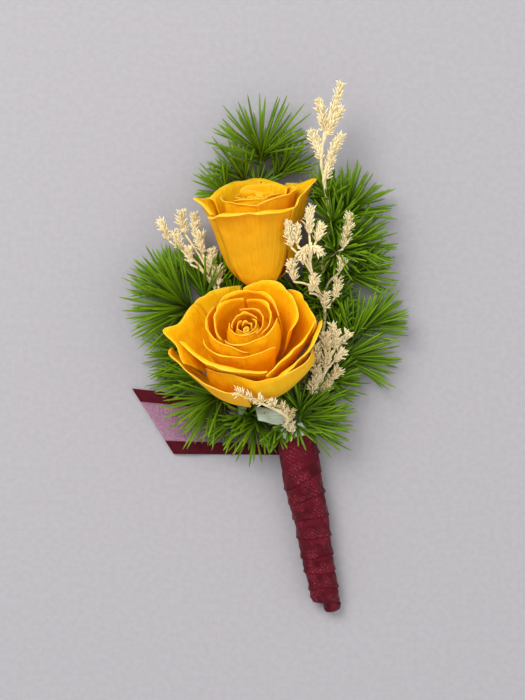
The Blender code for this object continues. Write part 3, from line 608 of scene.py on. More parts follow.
def petal_column(p, u, rows):
    """The points up one line of a petal, from foot to rim. u runs from -1 to 1 across it."""
    foot_radius, foot_height = foot_of(p["order"])
    half_foot = min(80.0, math.degrees(FOOT_HALF_WIDTH / foot_radius))
    point_out = p["tip"] * math.exp(-(((u - p["tip_at"]) / TIP_WIDTH) ** 2))
    rim_radius = p["radius"] + p["skew"] * u + p["flare"] * u * u + 0.8 * point_out
    rim_height = p["height"] - p["drop"] * abs(u) ** CORNER_POWER + p["rise"] * u + 0.3 * point_out
    chord = math.hypot(rim_radius - foot_radius, rim_height - foot_height)
    leave, arrive = math.radians(p["leave"]), math.radians(p["arrive"])
    a = np.array([foot_radius, foot_height])
    d = np.array([rim_radius, rim_height])
    b = a + p["belly"] * chord * np.array([math.sin(leave), math.cos(leave)])
    c = d - ARRIVE_BELLY * chord * np.array([math.sin(arrive), math.cos(arrive)])
    lip_rows = lip_rows_of(rows)
    body_rows = rows - lip_rows
    profile = []
    for i in range(body_rows + 1):
        t = i / body_rows
        profile.append(
            a * (1 - t) ** 3 + 3 * b * t * (1 - t) ** 2 + 3 * c * t * t * (1 - t) + d * t**3
        )
    roll = p["lip"] * (1 - 0.45 * abs(u) ** 3)
    for i in range(lip_rows):
        angle = arrive + math.radians(roll) * (i + 0.5) / lip_rows
        step = p["lip_length"] / lip_rows
        profile.append(profile[-1] + step * np.array([math.sin(angle), math.cos(angle)]))
    points = []
    for i, (r, z) in enumerate(profile):
        along = min(1.0, i / body_rows)
        spread = half_foot + (p["half"] - half_foot) * smooth(1.5 * along)
        azimuth = math.radians(p["turn"] + u * spread)
        off = p["shift"] * smooth(along)
        points.append(
            (r * math.cos(azimuth) + SHIFT_WAY[0] * off, r * math.sin(azimuth) + SHIFT_WAY[1] * off, z)
        )
    return points


def petal_grid(p, ruffle, source):
    """The petal's middle surface as an array of rows by columns of points, with its waves and creases."""
    across = np.linspace(-1, 1, PETAL_COLUMNS + 1)
    grid = np.array([petal_column(p, u, PETAL_ROWS) for u in across]).transpose(1, 0, 2)
    along = np.linspace(0, 1, PETAL_ROWS + 1)[:, None]
    waves = np.zeros((PETAL_ROWS + 1, PETAL_COLUMNS + 1))
    for waves_across, size in RUFFLES:
        phase, lean = source.uniform(0, math.tau), source.uniform(-1.2, 1.2)
        waves += size * np.sin(math.pi * waves_across * across[None, :] + phase + lean * along)
    amount = ruffle * along**2.2 * (0.35 + 0.65 * np.abs(across[None, :]) ** 1.5)
    grid = grid + normals_of(grid) * (waves * amount)[:, :, None]
    # the rim isn't cut level: it waves a little, and has a shallow notch where the midrib ends
    rim_wave = 0.25 * np.sin(math.pi * 1.7 * across + source.uniform(0, math.tau))
    rim_wave -= NOTCH_DEPTH * np.exp(-((across / NOTCH_WIDTH) ** 2))
    lift = np.gradient(grid, axis=0)
    lift /= np.linalg.norm(lift, axis=2, keepdims=True) + 1e-12
    return grid + lift * (rim_wave[None, :] * along**4)[:, :, None]


def surface_of(grids):
    """A tree over the surfaces of all the grids, for casting rays at them."""
    points, faces = [], []
    for grid in grids:
        rows, columns = grid.shape[:2]
        start = len(points)
        points += [Vector(p) for p in grid.reshape(-1, 3)]
        for i in range(rows - 1):
            for j in range(columns - 1):
                k = start + i * columns + j
                faces += [[k, k + 1, k + columns + 1], [k, k + columns + 1, k + columns]]
    return BVHTree.FromPolygons(points, faces)


def spread_out(push, steps):
    """Widens the pushed places by some steps, and rounds their borders off."""
    wide = push
    for _ in range(steps):
        padded = np.pad(wide, 1, mode="edge")
        wide = np.maximum.reduce(
            [padded[1:-1, 1:-1], padded[:-2, 1:-1], padded[2:, 1:-1], padded[1:-1, :-2], padded[1:-1, 2:]]
        )
    for _ in range(2 * steps):
        padded = np.pad(wide, 1, mode="edge")
        wide = (padded[:-2, 1:-1] + padded[2:, 1:-1] + padded[1:-1, :-2] + padded[1:-1, 2:] + 2 * wide) / 6
    return np.maximum(wide, push)


def settled(grid, inner_grids):
    """The grid of a petal, moved outwards wherever it would come too near a petal inside it."""
    if not inner_grids:
        return grid
    tree = surface_of(inner_grids)
    rows, columns = grid.shape[:2]
    rim = rows - 1 - lip_rows_of(rows - 1)
    probe = 4.0  # how far from the petal its rays start and end
    for _ in range(2):
        normal = normals_of(grid)
        push = np.zeros((rows, columns))
        for i in range(1, rows):
            spacing = FOOT_SPACING + (PETAL_SPACING - FOOT_SPACING) * min(1.0, 2.2 * i / rim)
            for j in range(columns):
                out = Vector(normal[min(i, rim), j])
                here = Vector(grid[i, j])
                hit = tree.ray_cast(here + out * probe, -out, 2 * probe)[0]
                if hit is not None:
                    push[i, j] = max(0.0, (hit - here).dot(out) + spacing)
        push[rim] = push[rim:].max(axis=0)
        wide = spread_out(push[: rim + 1], 3)
        wide[0] = 0
        grid = grid.copy()
        grid[: rim + 1] += normal[: rim + 1] * wide[:, :, None]
        for i in range(rim + 1, rows):
            grid[i] += normal[rim] * wide[rim][:, None]
    return grid


def open_rose_petals():
    """The petals of the open rose, from the heart outwards."""
    rim = OPEN_RIM
    made = []
    for i in range(6):  # the tight swirl
        radius = 1.5 + 0.62 * i
        made.append(
            petal(60 + GOLDEN_ANGLE * i, 80, radius, rim - 1.0 + 0.22 * i, i,
                  leave=34, arrive=-20, drop=0.8, shift=0.2 * radius, lip=55, lip_length=0.8)
        )
    for i in range(5):  # the ring round it
        radius = 6.6 + 0.66 * i
        made.append(
            petal(20 + GOLDEN_ANGLE * i, 66, radius, rim + 0.9 - 0.1 * i, 6 + i,
                  leave=50, arrive=-8, drop=1.6, skew=0.15, shift=0.2 * radius, lip=70, lip_length=1.1)
        )
    made += [
        petal(256, 62, 10.2, rim + 0.2, 11, leave=55, arrive=8, skew=-0.8, drop=1.8, lip=60),
        petal(44, 50, 14.0, rim - 0.6, 12, leave=58, arrive=16, skew=1.2, flare=-2.4, lip=40, lip_length=1.6),
        petal(238, 53, 13.2, rim - 0.4, 13, leave=62, arrive=12, skew=-0.8, flare=1.2, lip=95,
              lip_length=2.1),
        petal(326, 38, 13.8, rim - 1.4, 14, leave=62, arrive=14, skew=1.2, flare=2.0, lip=60, lip_length=1.6),
        petal(30, 27, 16.4, rim - 2.0, 15, leave=64, arrive=24, drop=3.0),
        petal(170, 34, 16.4, rim - 3.0, 16, leave=66, arrive=34, tip=4.2, tip_at=0.2, lip=30, lip_length=1.6),
        petal(321, 44, 15.9, rim - 3.0, 17, leave=70, arrive=14, skew=2.0, rise=1.4, lip=80, lip_length=1.6),
        petal(279, 61, 13.0, rim - 3.8, 18, leave=88, arrive=-14, belly=0.62, skew=0.6, drop=2.2, lip=10),
        petal(128, 32, 17.0, rim - 5.0, 19, leave=68, arrive=32, lip=30, lip_length=1.6),
        petal(226, 43, 17.6, rim - 4.0, 20, leave=76, arrive=16, tip=2.6, tip_at=-0.9, drop=2.5),
        petal(76, 33, 14.2, rim - 10.0, 21, leave=80, arrive=44),
    ]
    return made


def bud_petals():
    """The petals of the half-open rose, from the heart outwards."""
    rim = BUD_RIM
    made = []
    for i in range(5):
        made.append(
            petal(100 + GOLDEN_ANGLE * i, 78, 1.8 + 1.05 * i, rim - 0.6 + 0.25 * i, 2 + i,
                  leave=34, arrive=2, drop=0.8, lip=50, lip_length=0.9)
        )
    made += [
        petal(60, 62, 7.4, rim + 0.9, 8, leave=48, arrive=10, drop=1.4, lip=60, lip_length=1.1),
        petal(215, 60, 8.4, rim, 9, leave=50, arrive=10, drop=1.4, lip=60, lip_length=1.1),
        petal(330, 58, 9.8, rim + 0.8, 11, leave=58, arrive=14, belly=0.36, lip=50, lip_length=1.6),
        petal(105, 60, 10.8, rim + 1.0, 13, leave=64, arrive=18, belly=0.32, lip=50, lip_length=1.6),
        petal(6, 48, 12.0, rim + 0.6, 15, leave=70, arrive=26, belly=0.3, rise=0.6, tip=3.4, tip_at=0.15,
              lip=60, lip_length=1.6),
        petal(169, 43, 12.2, rim - 0.4, 17, leave=76, arrive=28, belly=0.3, tip=3.0, tip_at=0.3, lip=90,
              lip_length=1.6),
        petal(262, 53, 12.2, rim - 1.5, 19, leave=84, arrive=26, belly=0.28, rise=0.5, drop=0.6, lip=120,
              lip_length=2.3),
    ]
    return made


def frame_of(seat, axis):
    """The matrix from a flower's own frame to the layout's."""
    third = Vector(axis).normalized()
    first = (Vector((1, 0, 0)) - third * third.x).normalized()
    second = third.cross(first)
    turn = Matrix((first, second, third)).transposed().to_4x4()
    return Matrix.Translation(Vector(seat)) @ turn


def add_petal_piece(name, place, grid, thickness, material, along, uv, outer_side=1):
    """A petal or a heart. along and uv hold a value for each point of its grid. outer_side is 1 if its outer
    side has a colour of its own."""
    points, faces = thick_sheet(grid, thickness)
    attributes = {"along": np.tile(along, 2), "outside": np.repeat([outer_side, 0], len(along))}
    world = [place @ Vector(p) for p in points]
    add_piece(name, world, faces, material, [name], attributes, np.tile(uv, (2, 1)))


def add_rose(name, seat, axis, petals, materials, sizes, seed):
    """The petals and the rolled heart of one rose. materials holds one for each petal."""
    source = random.Random(seed)
    place = frame_of(seat, axis)
    grids = []
    along = np.repeat(np.linspace(0, 1, PETAL_ROWS + 1), PETAL_COLUMNS + 1)
    for i, shape in enumerate(petals):
        ruffle = sizes.petal_ruffle / MM * (0.35 + 0.1 * shape["order"])
        grid = settled(petal_grid(shape, ruffle, source), grids)
        grids.append(grid)
        span = math.radians(shape["half"]) * shape["radius"]
        across = np.tile(np.linspace(-span, span, PETAL_COLUMNS + 1), PETAL_ROWS + 1)
        uv = np.stack([across, along * 24 + 7 * i], axis=1)
        add_petal_piece(
            f"{name}_petal_{i + 1:02d}", place, grid, sizes.petal_thickness / MM, materials[i], along, uv
        )
    add_heart(f"{name}_heart", place, petals[0]["height"], materials[0], source)


def add_heart(name, place, height, material, source):
    """The tightest petals, rolled into each other in the middle of a rose."""
    rows, columns, thickness, foot = 14, 44, 0.14, 6.9
    start = source.uniform(0, 360)

    def point(i, j):
        t, s = i / rows, j / columns
        radius = (0.32 + 0.62 * s) * (0.55 + 0.45 * smooth(2.2 * t)) * (1 - 0.12 * smooth(3 * t - 2))
        azimuth = math.radians(start + 360 * HEART_TURNS * s)
        top = height - 7.5 + 0.5 * s + 0.14 * math.sin(1.5 * azimuth)
        return radius * math.cos(azimuth), radius * math.sin(azimuth), foot + top * t

    along = np.repeat(np.linspace(0.2, 1, rows + 1), columns + 1)
    uv = np.stack([np.tile(np.linspace(0, 8, columns + 1), rows + 1), along * 20], axis=1)
    grid = grid_of(rows, columns, point)
    add_petal_piece(name, place, grid, thickness, material, along, uv, outer_side=0)


# ---------------------------------------------------------------- wrapped stems

HANDLE_ROUTE = [
    (8.1, -23.0, 5.6), (10.2, -34.8, 5.0), (12.1, -43.8, 4.5), (14.0, -54.8, 3.9), (16.0, -65.2, 3.4),
]
HANDLE_HALF_WIDTHS = [5.7, 5.5, 5.0, 4.5, 4.0]
HANDLE_HALF_HEIGHTS = [4.9, 4.7, 4.3, 3.8, 3.3]
HANDLE_LINE = curve_through(HANDLE_ROUTE, 1.0)
HANDLE_LENGTH = sum((b - a).length for a, b in zip(HANDLE_LINE, HANDLE_LINE[1:]))
WRAP_TIP = Vector((17.9, -68.6, 2.7))  # where the ribbon is folded over the end of the stems
TIP_LENGTH = (WRAP_TIP - HANDLE_LINE[-1]).length
ROSE_STEM_RADIUS = 1.25

# How far each turn's lower edge lies from the top of the wrap, from the first turn at the tip to the last
TURN_EDGES = [HANDLE_LENGTH + TIP_LENGTH] * 2 + [42.2, 38.6, 34.4, 30.0, 25.0, 19.6, 14.6, 10.2]
TURN_TILTS = [0.0, 0.0, -0.7, 0.9, 0.3, 1.2, 0.5, 1.3, 2.0, 2.7]
MEAN_PITCH = 4.8  # of the turns
LAST_PITCH = 5  # of the part of a turn that follows the last one
WRAP_START = 200  # where round the stems, in degrees, the ribbon starts
MEAN_RADIUS = 5.0  # of a turn, by which its weave is measured along the ribbon
LAYER_STEP = 0.14  # by which a turn stands over the one before it
EDGE_LIFT = 0.28  # by which a turn's lower edge stands off
EDGE_WIDTH = 0.9  # of the strip that does
WRAP_DEPTH = 0.92  # of the tape under the outermost ribbon
WRAP_THICKNESS = 0.1  # of the ribbon where it is wound tight
WRAP_STEPS = 72  # rows of points in each turn
TAPE_THICKNESS = 0.3
TAPE_WALL = 0.8  # depth in which the tape and its creases lie
STEM_GAP = 0.2  # half the gap between the two rose stems
TAPE_START, TAPE_LENGTH = -3.4, 29.0  # along the handle from the wrap's top
TAPE_PITCH = 6.9
STEM_DEPTHS = (8.0, 3.0, -2.0, -4.4)  # places along the handle through which a thin stem runs

# Corners of the tape's own end, from its lower left round to its upper left
TAPE_END = [Vector((-1.4, -18.8, 10.4)), Vector((5.0, -20.4, 10.6)), Vector((5.4, -16.4, 9.4)),
            Vector((-2.2, -15.4, 9.4))]


def handle_at(distance):
    """Middle, across and up directions, half width and half height, at a distance from the wrap's top."""
    x = min(max(distance / HANDLE_LENGTH, -0.3), 1.0) * (len(HANDLE_LINE) - 1)
    i = min(max(int(math.floor(x)), 0), len(HANDLE_LINE) - 2)
    middle = HANDLE_LINE[i] + (HANDLE_LINE[i + 1] - HANDLE_LINE[i]) * (x - i)
    ahead = (HANDLE_LINE[i + 1] - HANDLE_LINE[i]).normalized()
    across = Vector((0, 0, 1)).cross(ahead).normalized() * -1
    across = across if across.x > 0 else -across
    up = across.cross(ahead)
    up = up if up.z > 0 else -up
    share = distance / HANDLE_LENGTH
    knots = np.linspace(0, 1, len(HANDLE_HALF_WIDTHS))
    width = float(np.interp(share, knots, HANDLE_HALF_WIDTHS))
    height = float(np.interp(share, knots, HANDLE_HALF_HEIGHTS))
    beyond = min(1.0, (distance - HANDLE_LENGTH) / TIP_LENGTH)
    if beyond > 0:
        # only the longer stem, at the right, reaches past the shoulder
        shoulder = smooth(beyond / 0.35)
        middle = HANDLE_LINE[-1].lerp(WRAP_TIP, beyond) + across * (1.2 * shoulder * (1 - beyond))
        shrink = (1 - 0.38 * shoulder) * math.sqrt(max(0.0, 1 - beyond**6))
        width *= 0.1 + 0.9 * shrink
        height *= 0.1 + 0.9 * shrink
    return middle, across, up, width, height


def handle_point(distance, turn, depth):
    """A point a depth under the wrap's outermost surface. turn is in radians: 0 is right, a quarter is up."""
    middle, across, up, width, height = handle_at(distance)
    depth = min(depth, 0.6 * width)
    return middle + across * ((width - depth) * math.cos(turn)) + up * ((height - depth) * math.sin(turn))


def slot_point(angle, distance, radius):
    """Where a stem of this radius lies inside the tape, against its wall."""
    return handle_point(distance, math.radians(angle), WRAP_DEPTH + TAPE_WALL + radius)


def core_point(side, distance):
    """Where one of the two rose stems lies, side by side in the middle."""
    middle, across, _, _, _ = handle_at(distance)
    return middle + across * (side * (ROSE_STEM_RADIUS + STEM_GAP))


def wrinkle(distance, turn):
    """Height of the folds that the stems under the ribbon press into it, from -0.22 to 0.22."""
    folds = 0.07 * math.sin(3 * turn + 0.35 * distance) + 0.06 * math.sin(5 * turn - 0.8 * distance + 1)
    return folds + 0.05 * math.sin(9 * turn + 1.7 * distance) + 0.04 * math.sin(2.9 * distance + 2 * turn)


def add_cloth(name, grid, thickness, uv, material, node):
    """A thin sheet of ribbon. uv holds a pair for each point of its grid."""
    points, faces = thick_sheet(grid, thickness)
    uv = np.tile(uv.reshape(-1, 2), (2, 1))
    return add_piece(name, points, faces, material, [node], uv=uv)


def add_wrap(sizes, material):
    """The ribbon wound up the stems from their cut ends. Each turn's lower edge lies over the turn below."""
    width, columns = sizes.ribbon_width / MM, 40
    turns = len(TURN_EDGES) - 1 + 0.55
    count = round(turns * WRAP_STEPS)
    places = np.arange(len(TURN_EDGES))
    grid = np.zeros((count + 1, columns + 1, 3))
    uv = np.zeros((count + 1, columns + 1, 2))
    for i in range(count + 1):
        wound = i / WRAP_STEPS
        turn = math.radians(WRAP_START) + math.tau * wound
        edge = float(np.interp(wound, places, TURN_EDGES)) - max(0.0, wound - places[-1]) * LAST_PITCH
        tilt = float(np.interp(wound, places, TURN_TILTS))
        edge -= tilt * math.cos(turn) + 0.12 * math.sin(5.3 * wound * math.pi) + 0.1 * math.sin(17 * wound)
        for j in range(columns + 1):
            up_from_edge = width * (j / columns) ** 1.35
            # a turn stops at the wrap's top
            up_from_edge = min(up_from_edge, max(edge, 0.5) * (j / columns))
            distance = edge - up_from_edge
            rise = LAYER_STEP * (width - up_from_edge) / MEAN_PITCH
            lift = EDGE_LIFT * math.exp(-((up_from_edge / EDGE_WIDTH) ** 2))
            depth = WRAP_DEPTH - WRAP_THICKNESS / 2 - rise * 0.8 - lift - wrinkle(distance, turn)
            grid[i, j] = handle_point(distance, turn, depth)
            uv[i, j] = (width - up_from_edge, MEAN_RADIUS * math.tau * wound)
    piece = add_cloth("ribbon_wrap_cloth", grid, WRAP_THICKNESS, uv, material, "ribbon_wrap")
    return piece


def add_tail(sizes, material):
    """The ribbon's loose end, cut on the slant. It lies on the table, with its other end under the stems."""
    rows, columns, thickness = 28, 90, sizes.ribbon_thickness / MM
    grid = np.zeros((rows + 1, columns + 1, 3))
    uv = np.zeros((rows + 1, columns + 1, 2))
    for i in range(rows + 1):
        for j in range(columns + 1):
            s, t = j / columns, i / rows
            point = TAIL_LOW_LEFT.lerp(TAIL_LOW_RIGHT, s).lerp(TAIL_TOP_LEFT.lerp(TAIL_TOP_RIGHT, s), t)
            lift = 0.12 + 0.9 * (1 - s) ** 2 + 0.35 * math.sin(3 * math.pi * s) ** 2 * (1 - s)
            lift += 0.05 * math.sin(7 * s + 4 * t) * (1 - s)
            grid[i, j] = (point.x, point.y, lift)
            uv[i, j] = (sizes.ribbon_width / MM * t, TAIL_LENGTH * s)
    piece = add_cloth("ribbon_tail_cloth", grid, thickness, uv, material, "ribbon_tail")
    return piece


def add_tape(material):
    """The crepe tape that binds all the stems, from just above the ribbon to deep inside it."""
    rows, sides = 40, 72
    end_rows, end_columns = 8, 10

    def wound(i, j):
        distance, turn = TAPE_START + TAPE_LENGTH * i / rows, math.tau * j / sides
        # the tape is wound on the slant, so a step runs round it like a screw thread
        step = 0.14 * (((distance + 1.1 * turn) / TAPE_PITCH) % 1.0)
        crease = 0.05 * math.sin(9 * turn + 2 * distance) + 0.04 * math.sin(4 * turn - 3 * distance)
        gather = 0.5 * smooth((-distance - 1.6) / 2.0)
        return handle_point(distance, turn, WRAP_DEPTH + 0.2 + step + crease + gather)

    def pinched(i, j):
        s, t = j / end_columns, i / end_rows
        place = TAPE_END[0].lerp(TAPE_END[1], s).lerp(TAPE_END[3].lerp(TAPE_END[2], s), t)
        return place + Vector((0, 0, 0.35 * math.sin(7 * s + 3 * t) + 0.25 * math.sin(5 * t - 4 * s)))

    points, faces = thick_sheet(grid_of(rows, sides, wound), TAPE_THICKNESS)
    # the tape's own end is pinched against the stems at the left of the ribbon
    end_points, end_faces = thick_sheet(grid_of(end_rows, end_columns, pinched), TAPE_THICKNESS)
    faces += [[len(points) + k for k in face] for face in end_faces]
    points = np.concatenate([points, end_points])
    return add_piece("stem_tape_crepe", points, faces, material, ["stem_tape"])


# ---------------------------------------------------------------- rose stems


def blade(base, ahead, out, length, width, thickness, bend, rings=7):
    """Points, faces and shares of length of a pointed leaf-like blade with a keel. out is its back's side."""
    ahead = ahead.normalized()
    side = ahead.cross(out).normalized()
    back = side.cross(ahead).normalized()
    sections, along = [], []
    for i in range(rings):
        t = i / (rings - 1)
        half = width / 2 * max(0.06, math.sin(math.pi * (0.12 + 0.86 * t)) ** 0.8)
        middle = base + ahead * (length * t) + back * (bend * t * t)
        sections.append([
            middle + side * half + back * (0.35 * half),
            middle + back * (thickness / 2),
            middle - side * half + back * (0.35 * half),
            middle - back * (thickness / 2),
        ])
        along += [t] * 4
    points, faces = lofted(sections)
    return points, faces, along


SEPAL_LENGTH = 9.5
SEPAL_LOWEST = 0.6  # height of a sepal's tip above the table


def add_rose_stem(name, seat, axis, route, cup, flesh, material, seed):
    """A stem, the hip in which it ends, and the five sepals that stand off below the petals. cup and flesh
    are the hip's radii at its rim and below it."""
    source = random.Random(seed)
    place = frame_of(seat, axis)
    route = curve_through([*route, place @ Vector((0, 0, -5.2))], 1.5)
    # the hip, and the cone inside the petals that carries them: heights above the seat, and radii
    heights = [-4.6, -4.0, -3.3, -2.6, -1.8, -1.0, -0.2, 0.7, 1.6, 2.5, 3.4, 4.3, 5.2, 6.2]
    swell = np.interp(heights, [-4.6, -4.0, -2.6, -1.0, -0.2, 1.6, 3.4, 5.2, 6.4],
                      [1.35, 1.5, 2.5, flesh, cup, 3.4, 2.45, 1.5, 0.85])
    points = route[:-1] + [place @ Vector((0, 0, z)) for z in heights]
    radii = [ROSE_STEM_RADIUS + 0.04 * math.sin(1.3 * i) for i in range(len(route) - 1)]
    radii += [float(r) for r in swell]
    pile = Pile()
    stem_points, stem_faces = tube(points, radii, 20)
    pile.add(stem_points, stem_faces, 0.4, [0.5] * len(stem_points))
    turn = place.to_3x3()
    for k in range(5):
        azimuth = math.radians(72 * k + 20)
        out = turn @ Vector((math.cos(azimuth), math.sin(azimuth), 0))
        down = turn @ Vector((0, 0, -1))
        base = place @ Vector(((flesh - 0.5) * math.cos(azimuth), (flesh - 0.5) * math.sin(azimuth), -0.9))
        ahead = (out * 0.9 + down * 0.75).normalized()
        length = SEPAL_LENGTH
        while (base + ahead * length).z < SEPAL_LOWEST and length > 3:
            length -= 0.5
        points, faces, along = blade(base, ahead, out - down, length, 3.2, 0.45, -0.8, rings=10)
        pile.add(points, faces, source.uniform(0.4, 0.9), along)
    return pile.piece(name + "_green", material, [name], "rose_stem")


# ---------------------------------------------------------------- fern and dried statice

# For each fern: node, place of its stem round the tape in degrees, route of the stem, and its tufts. A tuft
# is (place, direction in which its needles point, their length, half angle of their fan, their number).
FERNS = [
    ("fern_top", 250,
     [(5.4, -14.2, 1.6), (3.6, -8, 1.2), (-2.5, 6, 1.0), (-4, 20, 1.0), (-3, 34, 1.2), (-1.6, 43, 3.0),
      (-0.4, 50.5, 6.0)],
     [((-0.4, 50.5, 6.0), (0, 1, 0.25), 16.5, 76, 46), ((-0.6, 42.5, 4.0), (0.05, 1, 0.3), 12.0, 70, 38),
      ((-9.9, 40.2, 4.0), (-0.8, 0.6, 0.2), 10.5, 62, 30),
      ((-6.3, 44.8, 3.0), (-0.6, 0.8, 0.2), 11.5, 58, 26),
      ((5.2, 45.2, 3.5), (0.55, 0.8, 0.25), 11.0, 55, 26)]),
    ("fern_left", 200,
     [(2.0, -15.6, 3.0), (-2.5, -11.9, 1.5), (-8, -5, 1.5), (-13, 3, 2.2), (-17, 8, 4.5), (-20.4, 10.8, 7.0)],
     [((-20.4, 10.8, 7.0), (-1, 0.32, 0.05), 18.0, 68, 70),
      ((-23.5, 15.0, 5.0), (-0.8, 0.75, 0.1), 13.0, 56, 30),
      ((-15.2, 14.3, 3.0), (0.05, 1, 0.2), 13.0, 44, 40), ((-11.5, 15.6, 2.5), (0.1, 1, 0.1), 11.0, 44, 34),
      ((-7.0, 13.5, 2.2), (0.2, 1, 0.2), 9.0, 60, 28),
      ((-17.0, 5.0, 4.0), (-0.9, -0.1, 0.1), 12.0, 40, 18)]),
    ("fern_left_lower", 176,
     [(1.0, -16.9, 4.0), (-5, -14.0, 2.8), (-10, -10.5, 2.4), (-15, -4.5, 3.0), (-19.1, -1.0, 4.0)],
     [((-19.1, -1.0, 4.0), (-1, -0.05, 0), 13.5, 42, 26),
      ((-13.4, -13.1, 4.0), (-0.9, -0.3, 0), 16.0, 72, 44),
      ((-16.5, -8.0, 3.6), (-1, 0.1, 0.05), 14.0, 36, 22)]),
    ("fern_bottom", 150,
     [(2.8, -17.6, 7.0), (0.5, -18.6, 5.4), (-1.5, -19.3, 4.6), (-3.5, -19.9, 4.2)],
     [((-3.5, -19.9, 4.2), (-0.35, -1, 0), 10.5, 80, 36), ((2.5, -20.5, 8.6), (0.1, -1, 0.0), 6.0, 60, 22),
      ((-8.0, -18.5, 4.0), (-0.9, -0.5, 0), 10.5, 50, 20),
      ((-6.0, -17.0, 4.5), (-0.3, 0.6, 0.8), 8.0, 70, 32)]),
    ("fern_right_upper", 312,
     [(12.4, -13, 2.4), (17, -3, 1.6), (18, 9, 2.0), (18, 20, 4.0), (20, 29, 6.0), (21.6, 35.8, 8.0)],
     [((21.6, 35.8, 8.0), (0.5, 0.85, 0.15), 13.5, 66, 44),
      ((15.4, 35.5, 5.0), (-0.05, 1, 0.3), 10.5, 45, 24),
      ((21.6, 26.5, 7.0), (1, 0.15, 0.12), 13.5, 56, 38), ((22.4, 19.5, 6.0), (1, 0.25, 0.1), 12.5, 46, 28),
      ((15.8, 27.5, 4.0), (0.2, 0.1, 1), 8.5, 88, 40), ((15.4, 19.0, 4.0), (0.2, 0.2, 1), 8.5, 88, 36),
      ((17.0, 12.0, 3.5), (0.5, 0.4, 1), 9.0, 80, 30), ((13.0, 13.0, 3.0), (-0.3, 0.3, 1), 8.5, 88, 36),
      ((8.0, 14.5, 2.4), (-0.1, 0.9, 0.5), 8.5, 76, 34),
      ((17.4, 32.0, 12.0), (-0.1, 0.7, 0.8), 9.5, 78, 36), ((18.6, 25.0, 12.0), (0.3, 0.4, 1), 9.0, 84, 36),
      ((15.6, 39.0, 11.0), (-0.3, 0.9, 0.6), 8.5, 60, 26),
      ((18.6, 5.0, 3.0), (0.3, 0.3, 1), 8.5, 88, 36), ((16.0, 0.0, 3.0), (0.2, 0.2, 1), 8.0, 88, 34)]),
    ("fern_right_lower", 5,
     [(13, -15, 4.4), (17, -8, 4.0), (20.4, -2.0, 4.5), (24, 3.0, 6.0), (27.3, 6.1, 6.4)],
     [((27.3, 6.1, 6.4), (0.85, 0.5, 0.05), 12.5, 46, 28), ((24.2, 3.3, 6.0), (0.15, 1, 0.15), 12.5, 45, 24),
      ((21.4, -2.0, 5.0), (1, 0.05, 0), 15.0, 44, 30), ((18.6, 6.0, 4.0), (0.3, 0.9, 0.3), 9.0, 66, 24),
      ((15.5, -8.0, 4.5), (1, 0.35, 0.2), 11.5, 45, 26), ((16.0, -6.0, 4.6), (0.2, 0.5, 1), 8.0, 88, 34),
      ((13.6, -11.0, 5.0), (-0.2, 0.4, 1), 7.5, 88, 30)]),
    ("fern_bottom_right", 60,
     [(9.2, -16.2, 8.8), (10.4, -16.0, 8.4), (11.4, -15.9, 7.8)],
     [((9.6, -17.3, 8.6), (1, -0.15, -0.12), 14.0, 48, 36), ((10.6, -15.4, 8.8), (1, 0.4, 0), 12.0, 44, 26),
      ((8.2, -19.6, 9.6), (0.5, -0.8, 0.05), 7.0, 64, 18),
      ((5.2, -19.0, 9.8), (-0.4, -0.8, 0.1), 5.5, 64, 14),
      ((9.6, -14.8, 9.2), (-0.1, 1, 0.2), 8.0, 64, 30)]),
]

